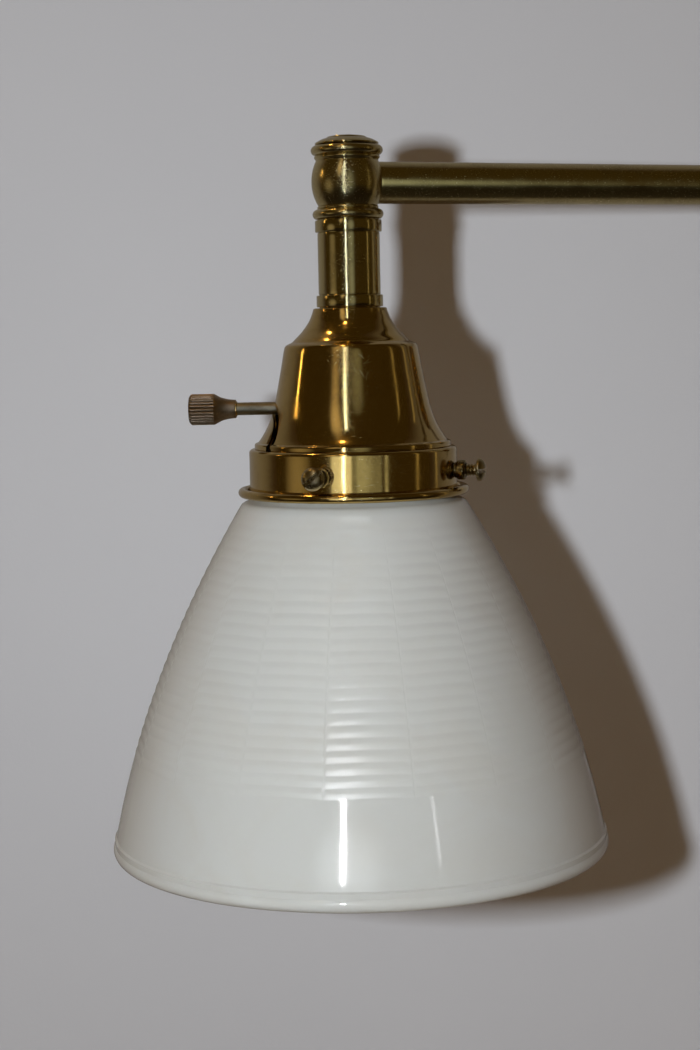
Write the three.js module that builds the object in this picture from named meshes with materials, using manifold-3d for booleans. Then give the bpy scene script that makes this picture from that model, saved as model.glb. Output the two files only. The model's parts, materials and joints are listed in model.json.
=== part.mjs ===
// Swing-arm wall lamp: a round wall plate with a pivot post, a tubular arm with a ball
// knuckle at each end, and a swivelling head with a key-switch socket under a spun bell
// cover, a screw-clamped fitter band and a flared milk-glass shade. Millimetres, +Z up.
// The wall is the plane y = 0, the lamp stands out towards -Y, and the origin is the
// centre of the mounting strap's back face.
import * as THREE from "three";
import { mergeVertices } from "three/addons/utils/BufferGeometryUtils.js";
import Module from "manifold-3d";

const wasm = await Module();
wasm.setup();

// ---------------------------------------------------------------- driving dimensions
const ARM_LENGTH = 240; // pivot axis to lamp axis
const ARM_YAW = 20; // degrees that the resting arm stands off the wall
const PIVOT_REACH = 60; // wall to pivot axis
const ARM_HEIGHT = 26; // arm axis above the wall plate's centre
const TUBE_RADIUS = 6;
const TUBE_BORE = 5;
const ARM_SWING = 82; // degrees of swing to each side of straight out from the wall
const HEAD_SWING = 165; // degrees of swivel to each side of rest

const GAP = 0.3; // between faces that rest on each other
const SHEET = 0.8; // spun brass sheet

const KNUCKLE_RADIUS = 10.3;
const KNUCKLE_HALF_HEIGHT = 11.3; // vertical half axis of the slightly tall ball
const KNUCKLE_BASE = -10.4;
const KNUCKLE_RIM = 10.45;
const KNUCKLE_BEAD = 1.4;
const CAVITY_RADIUS = 7;
const CAVITY_FLOOR = -5.5;

const NIPPLE_RADIUS = 4; // hollow M8 nipple
const NIPPLE_BORE = 2.3;
const NIPPLE_HOLE = 4.25;
const NIPPLE_TOP = -0.6;
const NUT_FLATS = 11;
const PIN_RADIUS = 0.75;
const PIN_CIRCLE = 6.6;
const PIN_TOP = -8.5;

const COLLAR_RADIUS = 9.55;
const COLLAR_HEIGHT = 3.3;
const NECK_RADIUS = 8.9;
const NECK_TOP = KNUCKLE_BASE - GAP;
const NECK_BOTTOM = -35.3;

const BELL_TOP = -35.6;
const BELL_FOOT = -75.2;
const KEY_ANGLE = -93; // degrees about the lamp axis, from the front towards +X
const KEY_HEIGHT = -64;
const KEY_RADIUS = 1.85;
const KEY_CLEARANCE = 0.3; // round the key's stem in the pieces it passes through
const SLOT_WIDTH = 4.1;
const KNOB_START = 33.6; // knob distances from the lamp axis
const KNOB_GRIP = 40;
const KNOB_END = 47.2;
const KNOB_RADIUS = 4.5;
const KNOB_FLUTES = 26;

const FITTER_TOP = -75.6;
const FITTER_RADIUS = 30;
const FITTER_BOTTOM = -89.4;
const LIP_RADIUS = 33.4;
const SOCKET_HOLE = 16.6;
const SCREW_HEIGHT = -82.3;
const SCREW_ANGLES = { front: -17.5, right: 74, back: 208 };
const SCREW_RADIUS = 1.75;
const SCREW_TIP = 27.7; // distance from the lamp axis when clamped on the glass

const SHADE_TOP = -77;
const SHADE_BOTTOM = -193;
const SHADE_RADIUS = 72.4;
const SHADE_LIP = 28.6; // half of the standard 2 1/4 inch fitter size

const SOCKET_RADIUS = 15.3;
const BLOCK_RADIUS = 13.6;
const BLOCK_TOP = -56;
const BLOCK_BOTTOM = -73.5;
const TERMINAL_Y = 9; // lamp axis to each terminal screw
const SOCKET_TOP = -54.5;
const SOCKET_BOTTOM = -95;
const THREAD_PITCH = 3.63; // Edison screw, seven turns per inch
const THREAD_DEPTH = 0.5;
const THREAD_TOP = -76.6;
const THREAD_RADIUS = 13.3;
const THREAD_SHEET = 0.4;

const BULB_TIP = -77.4;
const BULB_LENGTH = 106;
const BULB_RADIUS = 30;

const PLATE_RADIUS = 57.5;
const PLATE_STEP = 14; // height of the plate's flat step above the wall
const PLATE_HEIGHT = 21.6;
const PLATE_SHEET = 1.4;
const BOX_HOLE_X = 44.45; // half of the 3 1/2 inch outlet-box spacing
const STUD_X = 34.9; // half of 2 3/4 inch
const STRAP_THICKNESS = 2.4;
const STRAP_HALF_WIDTH = 10;
const STRAP_CORNER = 3;
const GROUND_X = -17; // ground screw to the plate's axis
const STUB_HOLE = 5.2;
const STUB_COLLAR_RADIUS = 8.6;

const POST_BOTTOM = -2 * ARM_HEIGHT - NECK_TOP + COLLAR_HEIGHT + GAP; // mirrors the top
const POST_FLOOR = -19; // underside of the post's solid top
const POST_BORE = 7.4; // radius of the post's hollow
const POST_BOSS = 12.5; // pivot axis to the face of the post's side boss
const STOP_HEADING = -90; // the pivot's stop pin faces straight out from the wall
const ARM_HEADING = 180 + ARM_YAW;

const FINE = 20; // segments round the widest parts
const MEDIUM = 16;
const SMALL = 12;

// ---------------------------------------------------------------- finishes
const finish = (color, roughness, metalness) => () =>
  new THREE.MeshStandardMaterial({ color, roughness, metalness });
const polishedBrass = finish(0xb8923f, 0.18, 1);
const agedBrass = finish(0x94803f, 0.24, 1);
const darkBronze = finish(0x3d3124, 0.5, 1);
const gunmetal = finish(0x6a6254, 0.4, 1);
const zincSteel = finish(0x8d8f8c, 0.35, 1);
const springSteel = finish(0x5b5d60, 0.4, 1);
const milkGlass = finish(0xdfe2dd, 0.12, 0);
const frostedGlass = finish(0xf3f3ee, 0.35, 0);
const porcelain = finish(0xe8e2d2, 0.3, 0);
const phenolic = finish(0x1f1a17, 0.45, 0);
const fibre = finish(0x8a6f4a, 0.85, 0);
const cordCover = finish(0xb9a26a, 0.6, 0);

// ---------------------------------------------------------------- shape helpers
const radians = THREE.MathUtils.degToRad;
const at = (radius, height) => new THREE.Vector2(radius, height);

// A circular arc in the (radius, height) plane, angles in degrees from the radius axis.
function arc(centreR, centreZ, radius, from, to, steps) {
  return oval(centreR, centreZ, radius, radius, from, to, steps);
}

function oval(centreR, centreZ, radiusR, radiusZ, from, to, steps) {
  const clockwise = to < from;
  const curve = new THREE.EllipseCurve(
    centreR, centreZ, radiusR, radiusZ, radians(from), radians(to), clockwise,
  );
  return curve.getPoints(steps);
}

// The outline moved sideways by a distance, to its left when the distance is positive.
function offset(outline, distance) {
  return outline.map((p, i) => {
    const before = outline[Math.max(i - 1, 0)];
    const after = outline[Math.min(i + 1, outline.length - 1)];
    const along = after.clone().sub(before).normalize();
    return at(p.x - along.y * distance, p.y + along.x * distance);
  });
}

// A closed (radius, height) profile turned about +Z, faces outwards either way round.
function turned(profile, segments) {
  const clockwise = THREE.ShapeUtils.isClockWise(profile);
  const loop = clockwise ? [...profile].reverse() : [...profile];
  return new THREE.LatheGeometry([...loop, loop[0]], segments).rotateX(Math.PI / 2);
}

function ring(inner, outer, bottom, top, segments) {
  return turned([at(inner, bottom), at(outer, bottom), at(outer, top), at(inner, top)], segments);
}

function rod(radius, bottom, top, segments = SMALL) {
  return turned([at(0, bottom), at(radius, bottom), at(radius, top), at(0, top)], segments);
}

function hexNut(flats, hole, bottom, top) {
  const corner = flats / 2 / Math.cos(radians(30));
  const outline = new THREE.Shape();
  for (let i = 0; i < 6; i++) {
    const turn = radians(60 * i);
    outline[i ? "lineTo" : "moveTo"](corner * Math.cos(turn), corner * Math.sin(turn));
  }
  outline.closePath();
  outline.holes.push(new THREE.Path().absarc(0, 0, hole, 0, 2 * Math.PI, true));
  const options = { depth: top - bottom, bevelEnabled: false, curveSegments: SMALL };
  return new THREE.ExtrudeGeometry(outline, options).translate(0, 0, bottom);
}

// A round wire of the given radius along a curve.
function wire(radius, curve, steps) {
  const section = new THREE.Shape().absarc(0, 0, radius, 0, 2 * Math.PI, false);
  const options = { steps, extrudePath: curve, bevelEnabled: false, curveSegments: 4 };
  return new THREE.ExtrudeGeometry(section, options);
}

// The heading, counter-clockwise from +X, of an angle counted from the front towards +X.
const heading = (angle) => radians(angle - 90);

// Turns a shape that runs along +Z so that it runs outwards from the lamp axis.
function outward(geometry, angle, height) {
  return geometry.rotateY(Math.PI / 2).rotateZ(heading(angle)).translate(0, 0, height);
}

function solid(geometry) {
  const flat = geometry.index ? geometry.toNonIndexed() : geometry.clone();
  flat.deleteAttribute("normal");
  flat.deleteAttribute("uv");
  const welded = mergeVertices(flat, 1e-4);
  const corners = welded.index.array;
  const kept = [];
  for (let i = 0; i < corners.length; i += 3) {
    const [a, b, c] = corners.slice(i, i + 3);
    if (a !== b && b !== c && c !== a) kept.push(a, b, c);
  }
  const vertProperties = welded.getAttribute("position").array;
  const triVerts = new Uint32Array(kept);
  return new wasm.Manifold(new wasm.Mesh({ numProp: 3, vertProperties, triVerts }));
}

function cut(geometry, ...cutters) {
  return cutters.reduce((left, cutter) => left.subtract(solid(cutter)), solid(geometry));
}

function join(...geometries) {
  return geometries.map(solid).reduce((whole, next) => whole.add(next));
}

function piece(name, shape, material) {
  const body = shape.isBufferGeometry ? solid(shape) : shape;
  const { vertProperties, triVerts } = body.getMesh();
  const indexed = new THREE.BufferGeometry();
  indexed.setAttribute("position", new THREE.BufferAttribute(vertProperties, 3));
  indexed.setIndex(new THREE.BufferAttribute(triVerts, 1));
  const geometry = indexed.toNonIndexed();
  geometry.computeVertexNormals();
  const mesh = new THREE.Mesh(geometry, material());
  mesh.name = name;
  return mesh;
}

// A group whose +Z axis runs outwards from the lamp axis.
function outwardGroup(angle, height) {
  const group = new THREE.Group();
  group.position.z = height;
  group.rotation.set(0, Math.PI / 2, heading(angle), "ZYX");
  return group;
}

// ---------------------------------------------------------------- swivel joint
// Heights in both swivels are counted from the arm's axis. The stop pin stands in an
// arc groove under the knuckle and ends the swing.
function knuckle(name, tubeHeading, grooveHeading, swing) {
  const beadCentre = KNUCKLE_RADIUS - 1.54;
  const waist = 35; // degrees above and below the ball's equator where its beads begin
  const profile = [
    at(NIPPLE_HOLE, KNUCKLE_BASE),
    ...arc(beadCentre, KNUCKLE_BASE + KNUCKLE_BEAD, KNUCKLE_BEAD, -90, 90, 3),
    ...oval(0, 0.2, KNUCKLE_RADIUS, KNUCKLE_HALF_HEIGHT, -waist, waist, 4),
    ...arc(beadCentre, KNUCKLE_RIM - KNUCKLE_BEAD, KNUCKLE_BEAD, -90, 90, 3),
    at(CAVITY_RADIUS, KNUCKLE_RIM),
    at(CAVITY_RADIUS, CAVITY_FLOOR),
    at(NIPPLE_HOLE, CAVITY_FLOOR),
  ];
  const tubeHole = rod(TUBE_RADIUS + 0.2, CAVITY_RADIUS - 2, 2 * KNUCKLE_RADIUS, MEDIUM)
    .rotateY(Math.PI / 2)
    .rotateZ(radians(tubeHeading));
  const pinShare = THREE.MathUtils.radToDeg(Math.asin(PIN_RADIUS / PIN_CIRCLE)) + 1.5;
  const reach = radians(swing + pinShare);
  const groove = new THREE.Shape();
  groove.absarc(0, 0, PIN_CIRCLE + PIN_RADIUS + GAP, -reach, reach, false);
  groove.absarc(0, 0, PIN_CIRCLE - PIN_RADIUS - GAP, reach, -reach, true);
  groove.closePath();
  const options = { depth: 3, bevelEnabled: false, curveSegments: 20 };
  const grooveCutter = new THREE.ExtrudeGeometry(groove, options)
    .rotateZ(radians(grooveHeading))
    .translate(0, 0, KNUCKLE_BASE - 0.6);
  return piece(name, cut(turned(profile, MEDIUM), tubeHole, grooveCutter), agedBrass);
}

function knuckleCap(name) {
  const edge = 9.03;
  const seat = KNUCKLE_RIM + GAP;
  const brim = seat + 0.5;
  const rise = 2.2;
  const dome = (edge * edge + rise * rise) / (2 * rise);
  const start = THREE.MathUtils.radToDeg(Math.acos(edge / dome));
  const skirt = CAVITY_RADIUS - 0.4;
  const profile = [
    at(0, seat - 1),
    at(skirt - 1, seat - 1),
    at(skirt - 1, seat - 3),
    at(skirt, seat - 3),
    at(skirt, seat),
    at(edge, seat),
    ...arc(0, brim + rise - dome, dome, start, 90, 3),
  ];
  return piece(name, turned(profile, MEDIUM), agedBrass);
}

function swivelNipple(name, bottom) {
  return piece(name, ring(NIPPLE_BORE, NIPPLE_RADIUS, bottom, NIPPLE_TOP, SMALL), zincSteel);
}

function springWasher(name) {
  const floor = CAVITY_FLOOR + GAP;
  const cone = 0.4; // height of the washer's dish
  const profile = [
    at(6.3, floor),
    at(6.3, floor + 0.5),
    at(NIPPLE_HOLE, floor + 0.5 + cone),
    at(NIPPLE_HOLE, floor + cone),
  ];
  return piece(name, turned(profile, SMALL), springSteel);
}

function swivelNut(name) {
  const seat = CAVITY_FLOOR + 4.5 * GAP;
  return piece(name, hexNut(NUT_FLATS, NIPPLE_HOLE, seat, seat + 2.9), zincSteel);
}

function stopPin(name, pinHeading) {
  const pin = rod(PIN_RADIUS, NECK_TOP - 2.6, PIN_TOP, 10);
  const [x, y] = [Math.cos(radians(pinHeading)), Math.sin(radians(pinHeading))];
  return piece(name, pin.translate(PIN_CIRCLE * x, PIN_CIRCLE * y, 0), springSteel);
}

function topCollar(name, pinHeading) {
  const body = ring(NIPPLE_HOLE, COLLAR_RADIUS, NECK_TOP - COLLAR_HEIGHT, NECK_TOP, MEDIUM);
  const [x, y] = [Math.cos(radians(pinHeading)), Math.sin(radians(pinHeading))];
  const pinHole = rod(PIN_RADIUS + 0.2, NECK_TOP - 2.8, NECK_TOP + 1, 10);
  return piece(name, cut(body, pinHole.translate(PIN_CIRCLE * x, PIN_CIRCLE * y, 0)), agedBrass);
}

function addSwivel(group, side, nippleBottom, pinHeading) {
  group.add(swivelNipple(side + "_nipple", nippleBottom));
  group.add(springWasher(side + "_spring_washer"));
  group.add(swivelNut(side + "_nut"));
  group.add(stopPin(side + "_stop_pin", pinHeading));
}

// ---------------------------------------------------------------- wall bracket
function mountingStrap() {
  const halfLength = BOX_HOLE_X + 7;
  const [innerX, innerY] = [halfLength - STRAP_CORNER, STRAP_HALF_WIDTH - STRAP_CORNER];
  const outline = new THREE.Shape();
  outline.moveTo(-innerX, -STRAP_HALF_WIDTH);
  outline.lineTo(innerX, -STRAP_HALF_WIDTH);
  outline.lineTo(halfLength, -innerY);
  outline.lineTo(halfLength, innerY);
  outline.lineTo(innerX, STRAP_HALF_WIDTH);
  outline.lineTo(-innerX, STRAP_HALF_WIDTH);
  outline.lineTo(-halfLength, innerY);
  outline.lineTo(-halfLength, -innerY);
  outline.closePath();
  for (const side of [-1, 1]) {
    const slot = new THREE.Path();
    slot.absarc(side * BOX_HOLE_X - 1.5, 0, 2.4, Math.PI / 2, -Math.PI / 2, false);
    slot.absarc(side * BOX_HOLE_X + 1.5, 0, 2.4, -Math.PI / 2, Math.PI / 2, false);
    slot.closePath();
    outline.holes.push(slot);
    outline.holes.push(new THREE.Path().absarc(side * STUD_X, 0, 2.4, 0, 2 * Math.PI, true));
  }
  outline.holes.push(new THREE.Path().absarc(GROUND_X, 0, 2.1, 0, 2 * Math.PI, true));
  const options = { depth: STRAP_THICKNESS, bevelEnabled: false, curveSegments: 6 };
  return piece("mounting_strap", new THREE.ExtrudeGeometry(outline, options), zincSteel);
}

function groundScrew() {
  const head = STRAP_THICKNESS + GAP;
  const profile = [
    at(0, 0.2),
    at(1.75, 0.2),
    at(1.75, head),
    at(4, head),
    at(4, head + 1.4),
    at(2.8, head + 2.2),
    at(0, head + 2.2),
  ];
  const drive = new THREE.BoxGeometry(9, 1, 1.6).translate(0, 0, head + 2.2);
  const screw = piece("ground_screw", cut(turned(profile, SMALL), drive), zincSteel);
  screw.position.x = GROUND_X;
  return screw;
}

function wallPlate() {
  const back = PLATE_SHEET;
  const outline = [
    at(PLATE_RADIUS, 0),
    at(PLATE_RADIUS, 2.6),
    ...arc(PLATE_RADIUS - 2, 2.6, 2, 20, 90, 2),
    ...arc(PLATE_RADIUS - 2.6, PLATE_STEP + 2.6, 12, -100, -160, 3),
    at(44, PLATE_STEP),
    at(27.5, PLATE_STEP),
    at(26.3, PLATE_STEP + 1.2),
    at(25.6, PLATE_HEIGHT - 1.5),
    at(24.2, PLATE_HEIGHT),
    at(STUB_HOLE + 0.2, PLATE_HEIGHT),
  ];
  const inside = [
    at(STUB_HOLE + 0.2, PLATE_HEIGHT - back),
    at(23.6, PLATE_HEIGHT - back),
    at(24.8, PLATE_STEP - back),
    at(43.4, PLATE_STEP - back),
    ...arc(PLATE_RADIUS - 4, PLATE_STEP + 2.6, 13.5, -160, -100, 3),
    at(PLATE_RADIUS - 3, 2.4),
    at(PLATE_RADIUS - 3, 0),
  ];
  const holes = [-1, 1].map((side) => rod(2.6, 0, PLATE_HEIGHT, SMALL).translate(side * STUD_X, 0, 0));
  return piece("wall_plate", cut(turned([...outline, ...inside], FINE), ...holes), polishedBrass);
}

function plateStud(name, side) {
  const stud = piece(name, rod(2.1, 0.2, PLATE_STEP + 4.6), zincSteel);
  stud.position.x = side * STUD_X;
  return stud;
}

function capNut(name, side) {
  const seat = PLATE_STEP + GAP;
  const profile = [
    at(2.4, seat),
    at(5, seat),
    at(5, seat + 0.8),
    at(3.9, seat + 1.3),
    at(3.9, seat + 4.5),
    ...arc(0, seat + 4, 4, 10, 90, 4),
    at(0, seat + 5.2),
    at(2.4, seat + 5.2),
  ];
  const nut = piece(name, turned(profile, SMALL), polishedBrass);
  nut.position.x = side * STUD_X;
  return nut;
}

function stubCollar() {
  const seat = PLATE_HEIGHT + GAP;
  const body = ring(STUB_HOLE, STUB_COLLAR_RADIUS, seat, seat + COLLAR_HEIGHT, MEDIUM);
  return piece("stub_collar", body, polishedBrass);
}

function stubTube() {
  const shoulder = PLATE_HEIGHT + 2 * GAP + COLLAR_HEIGHT;
  const end = PIVOT_REACH - POST_BOSS - GAP;
  const bore = 3.4;
  const start = 13;
  const tenon = 4.4; // length that enters the post's boss
  const profile = [
    at(bore, start),
    at(TUBE_BORE, start),
    at(TUBE_BORE, shoulder),
    at(TUBE_RADIUS, shoulder),
    at(TUBE_RADIUS, end),
    at(TUBE_BORE, end),
    at(TUBE_BORE, end + tenon),
    at(bore, end + tenon),
  ];
  return piece("stub_tube", turned(profile, SMALL + 2), agedBrass);
}

function stubNut() {
  const flats = 14;
  const seat = PLATE_HEIGHT - PLATE_SHEET - GAP;
  return piece("stub_nut", hexNut(flats, STUB_HOLE + 0.1, seat - 3, seat), zincSteel);
}

function pivotPost() {
  const top = NECK_TOP - COLLAR_HEIGHT - GAP;
  const profile = [
    at(POST_BORE, POST_BOTTOM),
    at(NECK_RADIUS, POST_BOTTOM),
    at(NECK_RADIUS, top),
    at(NIPPLE_HOLE, top),
    at(NIPPLE_HOLE, POST_FLOOR),
    at(POST_BORE, POST_FLOOR),
  ];
  const boss = ring(STUB_HOLE, 7.4, POST_BORE + 0.3, POST_BOSS, MEDIUM);
  const hole = rod(STUB_HOLE, 2, POST_BOSS + 1, MEDIUM);
  const towardsWall = (shape) => shape.rotateX(-Math.PI / 2).translate(0, 0, -ARM_HEIGHT);
  const whole = join(turned(profile, MEDIUM), towardsWall(boss));
  return piece("pivot_post", whole.subtract(solid(towardsWall(hole))), agedBrass);
}

function postFinial() {
  const seat = POST_BOTTOM - 2 * GAP - COLLAR_HEIGHT;
  const spigot = POST_BORE - GAP;
  const profile = [
    at(0, POST_BOTTOM + 4),
    at(spigot, POST_BOTTOM + 4),
    at(spigot, seat),
    at(8.6, seat),
    at(8.6, seat - 1.2),
    at(4.2, seat - 2.4),
    ...arc(0, seat - 9, 6.4, 60, -60, 5),
    at(2, seat - 15.4),
    at(0, seat - 16.4),
  ];
  return piece("post_finial", turned(profile, MEDIUM), agedBrass);
}

function postLowerCollar() {
  const top = POST_BOTTOM - GAP;
  const body = ring(7.3, COLLAR_RADIUS, top - COLLAR_HEIGHT, top, MEDIUM);
  return piece("post_lower_collar", body, agedBrass);
}

function supplyWire() {
  const reach = (x, distance, z) => new THREE.Vector3(x, -distance, z);
  const path = new THREE.CurvePath();
  const stub = reach(0, 16, 0);
  const post = reach(0, PIVOT_REACH - 4, 0);
  const riser = reach(0, PIVOT_REACH, 5);
  const top = reach(0, PIVOT_REACH, ARM_HEIGHT + NIPPLE_TOP - GAP);
  path.add(new THREE.QuadraticBezierCurve3(reach(20, 9, -15), reach(0, 6, 0), stub));
  path.add(new THREE.LineCurve3(stub, post));
  path.add(new THREE.QuadraticBezierCurve3(post, reach(0, PIVOT_REACH, 0), riser));
  path.add(new THREE.LineCurve3(riser, top));
  return piece("supply_wire", wire(1.5, path, 20), cordCover);
}

// ---------------------------------------------------------------- arm
function armTube() {
  const end = CAVITY_RADIUS + 0.6;
  const tube = ring(TUBE_BORE, TUBE_RADIUS, end, ARM_LENGTH - end, MEDIUM);
  return piece("arm_tube", tube.rotateY(Math.PI / 2), agedBrass);
}

function armWire() {
  const cord = rod(1.5, -1.5, ARM_LENGTH + 1.5, 8).rotateY(Math.PI / 2);
  return piece("arm_wire", cord.translate(0, 0, 2), cordCover);
}

// ---------------------------------------------------------------- lamp head
function neckTube() {
  const top = NECK_TOP - COLLAR_HEIGHT - GAP;
  const bottom = NECK_BOTTOM + COLLAR_HEIGHT + GAP;
  return piece("neck_tube", ring(7.9, NECK_RADIUS, bottom, top, MEDIUM), agedBrass);
}

function neckLowerCollar() {
  const body = ring(NIPPLE_HOLE, COLLAR_RADIUS, NECK_BOTTOM, NECK_BOTTOM + COLLAR_HEIGHT, MEDIUM);
  return piece("neck_lower_collar", body, agedBrass);
}

// The bell's spun sections in the (radius, height) plane: a concave flare under the top
// edge, and a body that flares again to the foot.
const bellFlare = new THREE.QuadraticBezierCurve(at(10.7, -36.6), at(11.6, -42.6), at(16.9, -45.3));
const bellBody = new THREE.CubicBezierCurve(
  at(19.2, -46.9), at(21.2, -57), at(22.2, -67), at(28.3, BELL_FOOT),
);

function bellOutline(flareSteps, bodySteps) {
  return [
    at(NIPPLE_HOLE, BELL_TOP),
    at(10, BELL_TOP),
    ...bellFlare.getPoints(flareSteps),
    at(18.4, -45.8),
    ...bellBody.getPoints(bodySteps),
  ];
}

// Radius of the bell's body at a height below its shoulder.
function bellRadius(height) {
  const points = bellBody.getPoints(16);
  const i = points.findIndex((p) => p.y <= height);
  if (i < 0) return points[points.length - 1].x;
  const [above, below] = [points[i - 1], points[i]];
  return THREE.MathUtils.mapLinear(height, above.y, below.y, above.x, below.x);
}

// The J slot lets the cover pass over the key: from the key's seat round and down.
function slotPath() {
  const stations = [
    [KEY_ANGLE, KEY_HEIGHT],
    [-80, -64.6],
    [-68, -66.8],
    [-61.5, -70.3],
    [-58, -74],
    [-56.5, -79],
  ];
  const points = stations.map(([angle, height]) => {
    const radius = bellRadius(height) - SHEET / 2;
    const turn = heading(angle);
    return new THREE.Vector3(radius * Math.cos(turn), radius * Math.sin(turn), height);
  });
  return new THREE.CatmullRomCurve3(points);
}

function bellCover() {
  const outline = bellOutline(3, 5);
  const inside = offset(outline, -SHEET).reverse();
  inside[inside.length - 1].x = NIPPLE_HOLE;
  inside[0].y = BELL_FOOT;
  const slot = wire(SLOT_WIDTH / 2, slotPath(), 12);
  const seat = outward(rod(SLOT_WIDTH / 2, 14, 28), KEY_ANGLE, KEY_HEIGHT);
  const body = cut(turned([...outline, ...inside], FINE), slot, seat);
  return piece("bell_cover", body, polishedBrass);
}

function bellNut() {
  const seat = BELL_TOP - SHEET - GAP;
  return piece("bell_nut", hexNut(NUT_FLATS, NIPPLE_HOLE, seat - 2.9, seat), zincSteel);
}

function socketCap() {
  const outside = SOCKET_RADIUS + 1.1;
  const outline = [
    at(NIPPLE_HOLE, -41),
    at(5.6, -41),
    at(5.6, -46.6),
    at(9, -47.4),
    at(14, -49.4),
    at(outside, -52.6),
    at(outside, -58),
  ];
  const inside = [
    at(outside - SHEET, -58),
    at(outside - SHEET, -52.9),
    at(13.4, -50.2),
    at(8.8, -48.3),
    at(NIPPLE_HOLE, -47.6),
  ];
  return piece("socket_cap", turned([...outline, ...inside], MEDIUM), polishedBrass);
}

const keyHole = (start) => outward(rod(KEY_RADIUS + KEY_CLEARANCE, start, 20), KEY_ANGLE, KEY_HEIGHT);

function socketShell() {
  const threaded = SOCKET_HOLE - 0.4;
  const flange = FITTER_TOP + GAP;
  const inner = SOCKET_RADIUS - 0.7;
  const profile = [
    at(inner, SOCKET_BOTTOM),
    at(threaded, SOCKET_BOTTOM),
    at(threaded, flange),
    at(18.5, flange),
    at(18.5, flange + 0.8),
    at(SOCKET_RADIUS, flange + 0.8),
    at(SOCKET_RADIUS, SOCKET_TOP),
    at(inner, SOCKET_TOP),
  ];
  return piece("socket_shell", cut(turned(profile, MEDIUM), keyHole(10)), polishedBrass);
}

function insulatingSleeve() {
  const body = ring(13.85, 14.3, SOCKET_BOTTOM + 0.5, SOCKET_TOP - 0.5, MEDIUM);
  return piece("insulating_sleeve", cut(body, keyHole(10)), fibre);
}

function switchBlock() {
  const pocket = outward(rod(5.3, -6, 8), KEY_ANGLE, KEY_HEIGHT);
  const terminalHoles = [-1, 1].map((side) =>
    rod(1.8, BLOCK_TOP - 4.6, BLOCK_TOP + 1, 10).translate(0, side * TERMINAL_Y, 0),
  );
  const body = rod(BLOCK_RADIUS, BLOCK_BOTTOM, BLOCK_TOP, MEDIUM);
  return piece("switch_block", cut(body, pocket, keyHole(5), ...terminalHoles), porcelain);
}

function terminalScrew(name, side, material) {
  const profile = [
    at(0, BLOCK_TOP - 4.2),
    at(1.5, BLOCK_TOP - 4.2),
    at(1.5, BLOCK_TOP + GAP),
    at(2.9, BLOCK_TOP + GAP),
    at(2.9, BLOCK_TOP + 1.6),
    at(1.8, BLOCK_TOP + 2.2),
    at(0, BLOCK_TOP + 2.2),
  ];
  const drive = new THREE.BoxGeometry(7, 0.8, 1.4).translate(0, 0, BLOCK_TOP + 2.2);
  const screw = piece(name, cut(turned(profile, 12), drive), material);
  screw.position.y = side * TERMINAL_Y;
  return screw;
}

// One side of a rolled Edison thread: radii that swing in and out once each pitch.
function threadLine(radius, top, turns) {
  const points = [];
  for (let i = 0; i <= 2 * turns; i++) {
    const crest = i % 2 ? THREAD_DEPTH / 2 : -THREAD_DEPTH / 2;
    points.push(at(radius + crest, top - (i * THREAD_PITCH) / 2));
  }
  return points;
}

function screwShell() {
  const top = BLOCK_BOTTOM - GAP;
  const outline = [at(5, top), at(12.8, top), ...threadLine(THREAD_RADIUS, THREAD_TOP, 5)];
  const inside = [
    ...threadLine(THREAD_RADIUS - THREAD_SHEET, THREAD_TOP, 5).reverse(),
    at(12.4, top - THREAD_SHEET),
    at(5, top - THREAD_SHEET),
  ];
  return piece("screw_shell", turned([...outline, ...inside], MEDIUM), polishedBrass);
}

function centreContact() {
  const top = BLOCK_BOTTOM - GAP;
  const strip = new THREE.Shape([
    at(-4, top),
    at(1, top),
    at(3.6, top - 2.2),
    at(3.2, top - 2.6),
    at(0.8, top - 0.5),
    at(-4, top - 0.5),
  ]);
  const options = { depth: 4, bevelEnabled: false };
  const tongue = new THREE.ExtrudeGeometry(strip, options).translate(0, 0, -2);
  return piece("centre_contact", tongue.rotateX(Math.PI / 2), agedBrass);
}

function socketRing() {
  const top = FITTER_TOP - SHEET - GAP;
  const body = ring(SOCKET_HOLE, 20, top - 3.2, top, MEDIUM);
  return piece("socket_ring", body, polishedBrass);
}

function lampCord() {
  const fork = -50;
  const leads = [-1, 1].map((side) => {
    const path = new THREE.CatmullRomCurve3([
      new THREE.Vector3(0, 0, fork + 0.8),
      new THREE.Vector3(0, side * 3.5, fork - 1.2),
      new THREE.Vector3(0, side * 8, fork - 2.6),
    ]);
    return wire(0.8, path, 6);
  });
  const trunk = rod(1.5, fork, NIPPLE_TOP - GAP, 8);
  return piece("lamp_cord", join(trunk, ...leads), cordCover);
}

function shadeFitter() {
  const shoulder = 1;
  const bead = 1.3;
  const inner = FITTER_RADIUS - SHEET;
  const beadR = LIP_RADIUS - bead;
  const beadZ = FITTER_BOTTOM + bead;
  const profile = [
    at(SOCKET_HOLE, FITTER_TOP),
    ...arc(FITTER_RADIUS - shoulder, FITTER_TOP - shoulder, shoulder, 90, 0, 2),
    at(FITTER_RADIUS, beadZ + 0.7),
    at(FITTER_RADIUS + 0.4, beadZ - 0.2),
    ...arc(beadR, beadZ, bead, 180, -90, 4),
    at(FITTER_RADIUS + 0.6, FITTER_BOTTOM),
    at(inner, beadZ - 0.4),
    at(inner, FITTER_TOP - shoulder),
    at(inner - 0.3, FITTER_TOP - SHEET),
    at(SOCKET_HOLE, FITTER_TOP - SHEET),
  ];
  const holes = Object.values(SCREW_ANGLES).map((angle) =>
    outward(rod(SCREW_RADIUS + 0.25, 26, 32), angle, SCREW_HEIGHT),
  );
  return piece("shade_fitter", cut(turned(profile, FINE), ...holes), polishedBrass);
}

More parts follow.
